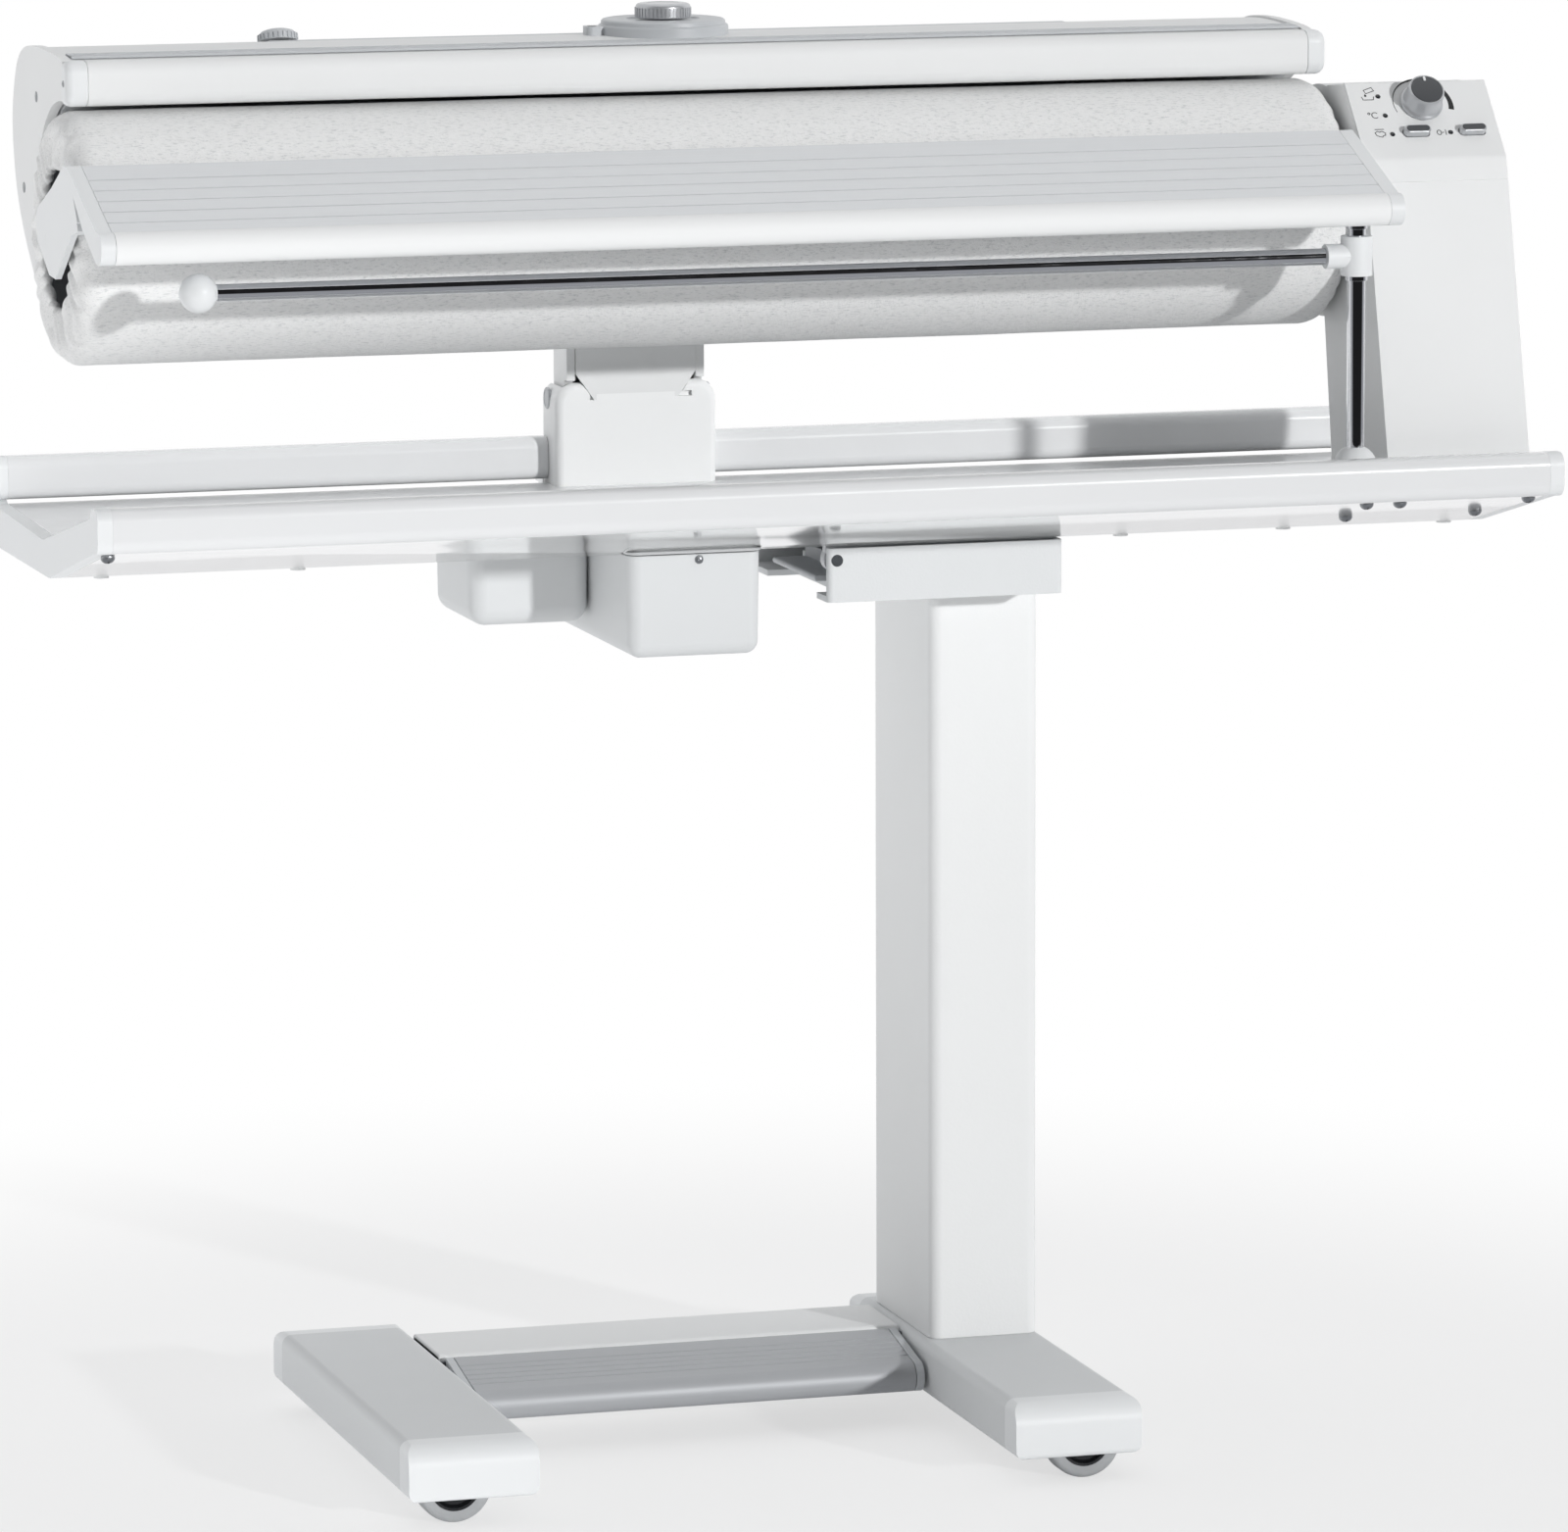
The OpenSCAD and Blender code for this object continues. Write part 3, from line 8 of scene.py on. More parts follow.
import json
import logging
import math
from dataclasses import dataclass
from enum import Enum
from typing import Any, Callable, Iterable, Optional, Sequence, Union

import bmesh
import bpy
from mathutils import Matrix, Vector

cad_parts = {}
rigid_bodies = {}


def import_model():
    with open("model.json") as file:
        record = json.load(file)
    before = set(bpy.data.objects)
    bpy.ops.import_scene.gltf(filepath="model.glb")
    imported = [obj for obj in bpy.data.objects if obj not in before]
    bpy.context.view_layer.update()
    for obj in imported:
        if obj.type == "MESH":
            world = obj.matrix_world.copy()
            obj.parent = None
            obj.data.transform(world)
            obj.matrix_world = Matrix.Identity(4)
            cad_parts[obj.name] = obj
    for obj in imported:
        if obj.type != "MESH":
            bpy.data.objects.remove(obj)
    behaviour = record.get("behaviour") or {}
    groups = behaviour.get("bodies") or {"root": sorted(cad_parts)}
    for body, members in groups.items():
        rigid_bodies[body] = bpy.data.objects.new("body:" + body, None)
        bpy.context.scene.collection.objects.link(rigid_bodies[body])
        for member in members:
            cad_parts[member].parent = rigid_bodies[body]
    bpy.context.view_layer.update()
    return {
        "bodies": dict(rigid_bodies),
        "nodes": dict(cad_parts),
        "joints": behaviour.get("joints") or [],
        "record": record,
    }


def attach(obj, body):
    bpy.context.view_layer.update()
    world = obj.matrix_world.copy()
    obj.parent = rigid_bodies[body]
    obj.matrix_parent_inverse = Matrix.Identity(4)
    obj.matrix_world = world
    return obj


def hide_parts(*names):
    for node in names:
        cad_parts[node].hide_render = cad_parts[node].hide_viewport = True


LOG = logging.getLogger("ironer")
MM = 0.001
COAT_ROUGHNESS = 0.12
SHEEN_ROUGHNESS = 0.5
SAME_POINT = 1e-4
MERGE_PIECE = 2e-6
MERGE_NODE = 4e-6
FLAT_ANGLE = 0.4
Point = tuple[float, float]
Spot = tuple[float, float, float]
Colour = tuple[float, float, float, float]


class Body(Enum):
    """Bodies that pieces ride on."""

    STAND = "stand"
    FOOT_BAR = "foot_bar"
    WHEEL_FRONT_LEFT = "wheel_front_left"
    WHEEL_REAR_LEFT = "wheel_rear_left"
    WHEEL_FRONT_RIGHT = "wheel_front_right"
    WHEEL_REAR_RIGHT = "wheel_rear_right"
    FOLD_LATCH = "fold_latch"
    BEAM = "beam"
    ROLLER = "roller"
    ARM = "arm"
    FILLER_CAP = "filler_cap"
    DRAIN_KNOB = "drain_knob"
    FINGER_GUARD = "finger_guard"
    TEMPERATURE_KNOB = "temperature_knob"
    BUTTON_LEFT = "button_left"
    BUTTON_RIGHT = "button_right"
    HANGING_RAIL = "hanging_rail"


class Slot(Enum):
    """Material slots of the record."""

    ENAMEL = "white_enamel"
    PALE = "pale_plastic"
    GREY = "grey_plastic"
    SILVER = "silver_sheet"
    STEEL = "plain_steel"
    FELT = "felt_cloth"
    WHEEL = "wheel_grey"


class Axis(Enum):
    """Directions that a drawing is pulled along."""

    X = "x"
    Y = "y"
    Z = "z"


# ---- shaders

def srgb(code: str) -> Colour:
    """Turns a hex colour into linear light.

    Args:
        code: six hex digits with a hash, as seen on a screen.
    Returns:
        The linear colour with alpha 1.
    """
    parts = [int(code[i:i + 2], 16) / 255 for i in (1, 3, 5)]
    lin = [p / 12.92 if p <= 0.04045 else ((p + 0.055) / 1.055) ** 2.4 for p in parts]
    return (lin[0], lin[1], lin[2], 1.0)


class Wire:
    """An output socket of a shader tree, with Python arithmetic on it."""

    def __init__(self, tree: "ShaderTree", socket: bpy.types.NodeSocket) -> None:
        """Keeps the tree and the socket."""
        self.tree = tree
        self.socket = socket

    def _math(self, operation: str, *values: "Value") -> "Wire":
        """Adds one Math node.

        Args:
            operation: the Math node's operation.
            values: its inputs in order.
        Returns:
            The node's value.
        """
        return self.tree.node("ShaderNodeMath", {"operation": operation}, dict(enumerate(values)))

    def __add__(self, other: "Value") -> "Wire":
        """Sum."""
        return self._math("ADD", self, other)

    def __radd__(self, other: "Value") -> "Wire":
        """Sum with the number first."""
        return self._math("ADD", other, self)

    def __sub__(self, other: "Value") -> "Wire":
        """Difference."""
        return self._math("SUBTRACT", self, other)

    def __rsub__(self, other: "Value") -> "Wire":
        """Difference with the number first."""
        return self._math("SUBTRACT", other, self)

    def __mul__(self, other: "Value") -> "Wire":
        """Product."""
        return self._math("MULTIPLY", self, other)

    def __rmul__(self, other: "Value") -> "Wire":
        """Product with the number first."""
        return self._math("MULTIPLY", other, self)

    def wave(self) -> "Wire":
        """Sine of this value in radians."""
        return self._math("SINE", self)

    def most(self, other: "Value") -> "Wire":
        """Larger of two values."""
        return self._math("MAXIMUM", self, other)

    def step(self, low: float, high: float) -> "Wire":
        """Smooth step from 0 at low to 1 at high.

        Args:
            low: where it starts to rise.
            high: where it is full.
        Returns:
            The step.
        """
        return self.tree.node(
            "ShaderNodeMapRange", {"interpolation_type": "SMOOTHSTEP"},
            {0: self, 1: low, 2: high, 3: 0.0, 4: 1.0})


Value = Union[Wire, float, int]


class ShaderTree:
    """A material's or the world's nodes while they are put together."""

    def __init__(self, owner: Union[bpy.types.Material, bpy.types.World]) -> None:
        """Clears the owner's nodes.

        Args:
            owner: the material or the world.
        """
        owner.use_nodes = True
        self.tree = owner.node_tree
        self.tree.nodes.clear()

    def node(self, kind: str, settings: Optional[dict[str, Any]] = None,
             inputs: Optional[dict[Union[str, int], Any]] = None,
             output: Union[str, int] = 0) -> Wire:
        """Adds any node.

        Args:
            kind: the node's type.
            settings: its own settings, set first; "stops" holds a ramp's stops.
            inputs: values or wires by socket name or number.
            output: the output socket to hand back.
        Returns:
            The chosen output.
        """
        made = self.tree.nodes.new(kind)
        for name, value in (settings or {}).items():
            if name == "stops":
                ramp = made.color_ramp
                while len(ramp.elements) < len(value):
                    ramp.elements.new(0.5)
                for element, (place, colour) in zip(ramp.elements, value):
                    element.position, element.color = place, colour
            else:
                setattr(made, name, value)
        for name, value in (inputs or {}).items():
            if isinstance(value, Wire):
                self.tree.links.new(value.socket, made.inputs[name])
            else:
                made.inputs[name].default_value = value
        return Wire(self, made.outputs[output]) if len(made.outputs) else Wire(self, None)

    def place(self, scale: Sequence[float] = (1, 1, 1), turn: Sequence[float] = (0, 0, 0)) -> Wire:
        """Object coordinates, scaled and turned, in metres.

        Args:
            scale: factors along the three axes.
            turn: turns about them, in radians.
        Returns:
            The coordinates.
        """
        where = self.node("ShaderNodeTexCoord", output="Object")
        return self.node("ShaderNodeMapping", {}, {
            "Vector": where, "Scale": tuple(scale), "Rotation": tuple(turn)})

    def noise(self, where: Wire, scale: float, detail: float = 3.0, rough: float = 0.55) -> Wire:
        """Noise between 0 and 1."""
        return self.node("ShaderNodeTexNoise", {}, {
            "Vector": where, "Scale": scale, "Detail": detail, "Roughness": rough})

    def blend(self, factor: Value, first: Union[Wire, Colour], second: Union[Wire, Colour]) -> Wire:
        """Mixes two colours."""
        return self.node("ShaderNodeMix", {"data_type": "RGBA"}, {0: factor, 6: first, 7: second}, 2)

    def bump(self, height: Wire, strength: float, distance: float) -> Wire:
        """Bump from a height; the distance is in metres."""
        return self.node("ShaderNodeBump", {}, {
            "Height": height, "Strength": strength, "Distance": distance})

    def axis(self, where: Wire, letter: str) -> Wire:
        """One coordinate of a vector."""
        return self.node("ShaderNodeSeparateXYZ", {}, {0: where}, letter.upper())


@dataclass(frozen=True)
class Finish:
    """Base of the finishes: one principled shader with constants on its sockets."""

    title: str
    colour: str
    roughness: float = 0.4
    metallic: float = 0.0
    coat: float = 0.0
    sheen: float = 0.0
    specular: float = 0.5

    def pattern(self, tree: ShaderTree) -> dict[str, Any]:
        """What changes over the surface.

        Args:
            tree: the material's nodes.
        Returns:
            Wires by the shader's socket name.
        """
        return {}

    def material(self) -> bpy.types.Material:
        """The material, made once and then shared.

        Returns:
            The material.
        """
        found = bpy.data.materials.get(self.title)
        if found is not None:
            return found
        made = bpy.data.materials.new(self.title)
        tree = ShaderTree(made)
        values: dict[Union[str, int], Any] = {
            "Base Color": srgb(self.colour), "Roughness": self.roughness,
            "Metallic": self.metallic, "Coat Weight": self.coat, "Coat Roughness": COAT_ROUGHNESS,
            "Sheen Weight": self.sheen, "Sheen Roughness": SHEEN_ROUGHNESS,
            "Specular IOR Level": self.specular}
        values.update(self.pattern(tree))
        shader = tree.node("ShaderNodeBsdfPrincipled", {}, values)
        tree.node("ShaderNodeOutputMaterial", {}, {"Surface": shader})
        made.diffuse_color = srgb(self.colour)
        return made

    def tones(self, tree: ShaderTree, mask: Wire, spread: float) -> Wire:
        """The colour drifting a little darker and lighter with a mask.

        Args:
            tree: the material's nodes.
            mask: 0 for the darkest, 1 for the lightest.
            spread: share of the change either way.
        Returns:
            The colour.
        """
        base = srgb(self.colour)
        low = tuple(c * (1 - spread) for c in base[:3]) + (1.0,)
        high = tuple(min(1.0, c * (1 + spread)) for c in base[:3]) + (1.0,)
        return tree.blend(mask, low, high)


@dataclass(frozen=True)
class Enamel(Finish):
    """Baked powder coat: fine orange peel, soft tone drift and handling marks."""

    peel: float = 0.22
    drift_scale: float = 5.0
    smear_scale: float = 34.0
    peel_scale: float = 620.0
    dust_scale: float = 2400.0
    dust_share: float = 0.10
    dust_tone: str = "#b9b9b6"

    def pattern(self, tree: ShaderTree) -> dict[str, Any]:
        """Peel in the normal, smears in the gloss and a faint drift of the white.

        Args:
            tree: the material's nodes.
        Returns:
            Wires by the shader's socket name.
        """
        where = tree.place()
        drift = tree.noise(where, self.drift_scale, 4.0)
        smear = tree.noise(tree.place((1.0, 1.0, 0.35)), self.smear_scale, 5.0, 0.62)
        peel = tree.noise(where, self.peel_scale, 2.0, 0.4)
        dust = tree.noise(where, self.dust_scale, 1.0)
        speck = dust.step(0.74, 0.8)
        colour = self.tones(tree, drift, 0.018)
        colour = tree.blend(speck * self.dust_share, colour, srgb(self.dust_tone))
        return {
            "Base Color": colour,
            "Roughness": self.roughness + (smear - 0.5) * 0.14 + speck * 0.08,
            "Normal": tree.bump(peel, self.peel, 0.0005)}


@dataclass(frozen=True)
class Moulded(Finish):
    """Injection-moulded plastic: fine spark-eroded grain and soft flow tones."""

    grain: float = 0.16
    flow_scale: float = 9.0
    rub_scale: float = 48.0
    grain_scale: float = 1900.0

    def pattern(self, tree: ShaderTree) -> dict[str, Any]:
        """Grain in the normal, a slow drift in tone and rubbed spots in the gloss.

        Args:
            tree: the material's nodes.
        Returns:
            Wires by the shader's socket name.
        """
        where = tree.place()
        flow = tree.noise(tree.place((0.6, 1.0, 1.0)), self.flow_scale, 3.0)
        rub = tree.noise(where, self.rub_scale, 4.0, 0.6)
        grain = tree.noise(where, self.grain_scale, 2.0, 0.5)
        return {
            "Base Color": self.tones(tree, flow, 0.016),
            "Roughness": self.roughness + (rub - 0.5) * 0.12,
            "Normal": tree.bump(grain, self.grain, 0.0003)}


@dataclass(frozen=True)
class Drawn(Finish):
    """Rolled, drawn or brushed metal with its grain along one axis."""

    along: Axis = Axis.X
    depth: float = 0.12
    streak: float = 0.06
    line_long: float = 2.0
    line_across: float = 620.0
    cloud_scale: float = 14.0

    def pattern(self, tree: ShaderTree) -> dict[str, Any]:
        """Long streaks in tone, gloss and normal.

        Args:
            tree: the material's nodes.
        Returns:
            Wires by the shader's socket name.
        """
        stretch = [self.line_long if axis is self.along else self.line_across for axis in Axis]
        lines = tree.noise(tree.place(stretch), 1.0, 3.0, 0.6)
        cloud = tree.noise(tree.place(), self.cloud_scale, 3.0)
        return {
            "Base Color": self.tones(tree, lines * 0.7 + cloud * 0.3, self.streak),
            "Roughness": self.roughness + (lines - 0.5) * 0.16 + (cloud - 0.5) * 0.08,
            "Normal": tree.bump(lines, self.depth, 0.0002)}


@dataclass(frozen=True)
class Plated(Finish):
    """Bright plating with faint polishing waves and finger smears."""

    smear_scale: float = 60.0
    wave_scale: float = 9.0

    def pattern(self, tree: ShaderTree) -> dict[str, Any]:
        """Smears in the gloss and a very soft wave in the normal.

        Args:
            tree: the material's nodes.
        Returns:
            Wires by the shader's socket name.
        """
        smear = tree.noise(tree.place((1.0, 1.4, 1.0)), self.smear_scale, 5.0, 0.65)
        wave = tree.noise(tree.place(), self.wave_scale, 0.0)
        return {
            "Base Color": self.tones(tree, smear, 0.02),
            "Roughness": self.roughness + smear.step(0.45, 0.8) * 0.03,
            "Normal": tree.bump(wave, 0.004, 0.0003)}


@dataclass(frozen=True)
class Felt(Finish):
    """Needle felt under thin cotton cloth: fibres, flecks and a soft nap."""

    pile_scale: float = 430.0
    cloud_scale: float = 190.0
    fibre_scale: float = 820.0
    cross_scale: float = 760.0
    dark_fibre: str = "#b0b4b6"
    pale_fibre: str = "#fafbfa"

    def pattern(self, tree: ShaderTree) -> dict[str, Any]:
        """Flecks in the colour, fibres and pile in the normal.

        Args:
            tree: the material's nodes.
        Returns:
            Wires by the shader's socket name.
        """
        where = tree.place()
        pile = tree.noise(where, self.pile_scale, 5.0, 0.75)
        cloud = tree.noise(where, self.cloud_scale, 4.0, 0.75)
        fibre = tree.noise(tree.place((0.28, 1.0, 1.0), (0.5, 0.3, 0.9)), self.fibre_scale, 3.0, 0.7)
        cross = tree.noise(tree.place((1.0, 0.3, 1.0), (0.2, 0.8, 0.1)), self.cross_scale, 3.0, 0.7)
        colour = self.tones(tree, cloud * 0.55 + pile * 0.45, 0.12)
        colour = tree.blend(fibre.step(0.50, 0.72) * 0.46, colour, srgb(self.dark_fibre))
        colour = tree.blend(cross.step(0.57, 0.72) * 0.35, colour, srgb(self.pale_fibre))
        height = pile * 0.7 + cloud * 0.5 + fibre * 0.35 + cross * 0.35
        return {"Base Color": colour, "Normal": tree.bump(height, 0.75, 0.0014)}


@dataclass(frozen=True)
class Rubber(Finish):
    """Wheel rubber with a dusty, scuffed tread."""

    scuff_scale: float = 140.0
    pebble_scale: float = 1100.0

    def pattern(self, tree: ShaderTree) -> dict[str, Any]:
        """Scuffs in tone and a pebbled normal.

        Args:
            tree: the material's nodes.
        Returns:
            Wires by the shader's socket name.
        """
        where = tree.place()
        scuff = tree.noise(tree.place((1.0, 0.3, 1.0)), self.scuff_scale, 5.0, 0.7)
        pebble = tree.noise(where, self.pebble_scale, 3.0)
        return {
            "Base Color": self.tones(tree, scuff, 0.12),
            "Roughness": self.roughness + (scuff - 0.5) * 0.2,
            "Normal": tree.bump(pebble, 0.35, 0.0004)}


@dataclass(frozen=True)
class Board(Finish):
    """Printed circuit board with copper tracks under green lacquer."""

    track_across: float = 900.0
    track_up: float = 1150.0
    gap_scale: float = 90.0
    pad_scale: float = 420.0
    track_tone: str = "#4f8a55"
    pad_tone: str = "#c9c6b8"

    def pattern(self, tree: ShaderTree) -> dict[str, Any]:
        """Tracks from two crossing bands, and a few solder pads.

        Args:
            tree: the material's nodes.
        Returns:
            Wires by the shader's socket name.
        """
        where = tree.place()
        across = (tree.axis(where, "x") * self.track_across).wave()
        up = (tree.axis(where, "z") * self.track_up).wave()
        gaps = tree.noise(where, self.gap_scale).step(0.45, 0.5)
        tracks = across.step(0.72, 0.8).most(up.step(0.8, 0.86)) * gaps
        pads = tree.noise(where, self.pad_scale, 0.0).step(0.76, 0.79)
        colour = tree.blend(tracks * 0.5, srgb(self.colour), srgb(self.track_tone))
        return {
            "Base Color": tree.blend(pads, colour, srgb(self.pad_tone)),
            "Roughness": self.roughness - pads * 0.15,
            "Normal": tree.bump(tracks + pads, 0.3, 0.0002)}


@dataclass(frozen=True)
class Heated(Finish):
    """Steel tube with straw and blue heat colours."""

    cloud_scale: float = 26.0
    heat: tuple[tuple[float, str], ...] = ((0.2, "#6b5a4a"), (0.5, "#7d6a52"), (0.8, "#4e4f5c"))

    def pattern(self, tree: ShaderTree) -> dict[str, Any]:
        """Heat colours in clouds along the tube.

        Args:
            tree: the material's nodes.
        Returns:
            Wires by the shader's socket name.
        """
        cloud = tree.noise(tree.place((0.3, 1.0, 1.0)), self.cloud_scale, 4.0)
        colours = [(place, srgb(tone)) for place, tone in self.heat]
        tint = tree.node("ShaderNodeValToRGB", {"stops": colours}, {"Fac": cloud})
        return {"Base Color": tint, "Roughness": self.roughness + (cloud - 0.5) * 0.2,
                "Normal": tree.bump(cloud, 0.1, 0.0003)}


ENAMEL = Enamel("white powder coat", "#ebecec", 0.58, coat=0.0, specular=0.25)
RAIL_GLOSS = Enamel("half gloss coat", "#e8e9ea", 0.20, coat=0.35, specular=0.45, peel=0.03)
GLOSS = Enamel("gloss white coat", "#ebecec", 0.10, coat=0.8, specular=0.6, peel=0.015)
# A lighter copy of the white casing plastic: painted light on the neck's housing.
PAINTED_LIGHT_NECK_CASING = Moulded("casing plastic with painted light", "#f6f7f7", 0.52, coat=0.0, specular=0.3)
# A darker copy of the white casing plastic: painted shade on the housings under the beam.
PAINTED_SHADE_HOUSING = Moulded("casing plastic with painted shade", "#d6d8d9", 0.50, coat=0.0, specular=0.3)
# A darker copy of the white powder coat: painted shade on the feet and the column's head.
PAINTED_SHADE_COAT = Enamel("powder coat with painted shade", "#dadcdd", 0.58, coat=0.0, specular=0.25)
PIN_STEEL = Drawn("dark pin steel", "#5d6064", 0.30, 1.0, along=Axis.Y, streak=0.06)
CASING = Moulded("white casing plastic", "#ebecec", 0.54, coat=0.0, specular=0.25)
CAP_PLASTIC = Moulded("pale cap plastic", "#e9ebec", 0.44, coat=0.04, specular=0.4)
GREY_PLASTIC = Moulded("light grey plastic", "#c3c6c9", 0.42)
MID_GREY = Moulded("mid grey plastic", "#8d9094", 0.45)
DARK_PLASTIC = Moulded("dark grey plastic", "#4a4c4f", 0.40)
PRINT = Moulded("black print", "#1d1e20", 0.42, grain=0.05)
LAMP = Moulded("dark lamp window", "#2b2d30", 0.16, coat=0.4, grain=0.03)
SATIN = Drawn("satin anodised sheet", "#dfe1e3", 0.46, 0.30, along=Axis.X)
# Darker grey for the floors of the feed board's grooves: painted shade.
GROOVE_PAINTED_SHADE = Moulded("painted groove shade", "#a3a6aa", 0.6)
NOSE = Drawn("bright nose strip", "#f0f1f1", 0.60, 0.0, specular=0.25, along=Axis.X, depth=0.05, streak=0.015)
BAR_METAL = Drawn("foot bar metal", "#b4b6b9", 0.52, 0.25, specular=0.3, along=Axis.X, streak=0.05)
SILVER_PAINT = Drawn("silver lacquer", "#c2c4c7", 0.33, 0.45, coat=0.12, along=Axis.Z, streak=0.03)
CHROME = Plated("bright chrome", "#dcdde0", 0.045, 1.0)
STEEL = Drawn("machined steel", "#a9abae", 0.38, 1.0, along=Axis.Y, streak=0.08)
AXLE_STEEL = Drawn("ground axle steel", "#b2b4b6", 0.28, 1.0, along=Axis.X, streak=0.06)
TUBE_STEEL = Drawn("rolled tube steel", "#a4a6a9", 0.42, 1.0, along=Axis.X, streak=0.10)
BRASS = Drawn("sintered brass", "#b8935a", 0.40, 1.0, along=Axis.X, streak=0.10)
MOTOR_PAINT = Enamel("dark motor paint", "#3b3d40", 0.5, peel=0.4)
GEAR = Moulded("gear plastic", "#e2dfd3", 0.45)
ELEMENT = Heated("heated element tube", "#7d6a52", 0.42, 0.8)
BOARD = Board("printed board", "#2c5a3c", 0.38, coat=0.3)
CLOTH = Felt("mottled felt cloth", "#fafbfa", 0.92, sheen=0.2, specular=0.2)
TREAD = Rubber("grey wheel tread", "#a4a6a8", 0.72)
HUB = Moulded("glossy black hub", "#17181a", 0.16, coat=0.5, grain=0.04)


# ---- meshes

def rounded(points: Sequence[Point], radii: Union[float, Sequence[float]], steps: int = 6) -> list[Point]:
    """Rounds the corners of a closed outline with arcs.

    Args:
        points: the outline's corners in order.
        radii: one radius, or one for each corner.
        steps: faces in each arc.
    Returns:
        The outline with its arcs.
    """
    count = len(points)
    sizes = [radii] * count if isinstance(radii, (int, float)) else list(radii)
    out: list[Point] = []
    for i, corner in enumerate(points):
        here = Vector(corner)
        back, ahead = Vector(points[i - 1]) - here, Vector(points[(i + 1) % count]) - here
        if sizes[i] <= 0 or back.length < 1e-6 or ahead.length < 1e-6:
            out.append((here.x, here.y))
            continue
        angle = back.angle(ahead)
        if angle > math.pi - 1e-3:
            out.append((here.x, here.y))
            continue
        reach = min(sizes[i] / math.tan(angle / 2), 0.49 * back.length, 0.49 * ahead.length)
        radius = reach * math.tan(angle / 2)
        start, end = here + back.normalized() * reach, here + ahead.normalized() * reach
        centre = here + (back.normalized() + ahead.normalized()).normalized() * (radius / math.sin(angle / 2))
        for k in range(steps + 1):
            way = start.lerp(end, k / steps) - centre
            turn = (start - centre).normalized().slerp((end - centre).normalized(), k / steps) \
                if (start - centre).length > 1e-9 else way
            point = centre + turn * radius
            out.append((point.x, point.y))
    return out


def smooth_open(points: Sequence[Point], steps: int = 6) -> list[Point]:
    """Rounds an open path with one quadratic curve at each inner point.

    Args:
        points: the path's points in order.
        steps: parts of each curve.
    Returns:
        The path from the first point to the last.
    """
    spots = [Vector(p) for p in points]
    out = [spots[0]]
    for i in range(1, len(spots) - 1):
        start = spots[i].lerp(spots[i - 1], 0.5 if i > 1 else 0.75)
        end = spots[i].lerp(spots[i + 1], 0.5 if i < len(spots) - 2 else 0.75)
        for k in range(steps + 1):
            t = k / steps
            out.append(start * (1 - t) ** 2 + spots[i] * (2 * t * (1 - t)) + end * t ** 2)
    out.append(spots[-1])
    kept = [out[0]]
    for point in out[1:]:
        if (point - kept[-1]).length > SAME_POINT:
            kept.append(point)
    return [(v.x, v.y) for v in kept]


def inset(line: Sequence[Point], size: float) -> list[Point]:
    """Moves an open line sideways, to the left of its way.

    Args:
        line: the line's points.
        size: how far it moves.
    Returns:
        The moved line.
    """
    spots = [Vector(p) for p in line]
    out = []
    for i, here in enumerate(spots):
        way = (spots[min(i + 1, len(spots) - 1)] - spots[max(i - 1, 0)]).normalized()
        out.append((here.x - way.y * size, here.y + way.x * size))
    return out


def square(x0: float, x1: float, y0: float, y1: float) -> list[Point]:
    """Rectangle with sharp corners, counter-clockwise."""
    return [(x0, y0), (x1, y0), (x1, y1), (x0, y1)]


def box_outline(x0: float, x1: float, y0: float, y1: float, radius: float, steps: int = 6) -> list[Point]:
    """Rectangle with round corners, counter-clockwise."""
    return rounded(square(x0, x1, y0, y1), radius, steps)


def spot(axis: Axis, along: float, a: float, b: float) -> Vector:
    """A point in metres from a drawing's two sizes and its place along the pull.

    Args:
        axis: the direction that the drawing is pulled along.
        along: the place on that axis.
        a: the drawing's first size.
        b: the drawing's second size.
    Returns:
        The point.
    """
    if axis is Axis.X:
        return Vector((along, a, b)) * MM
    if axis is Axis.Y:
        return Vector((a, along, b)) * MM
    return Vector((a, b, along)) * MM


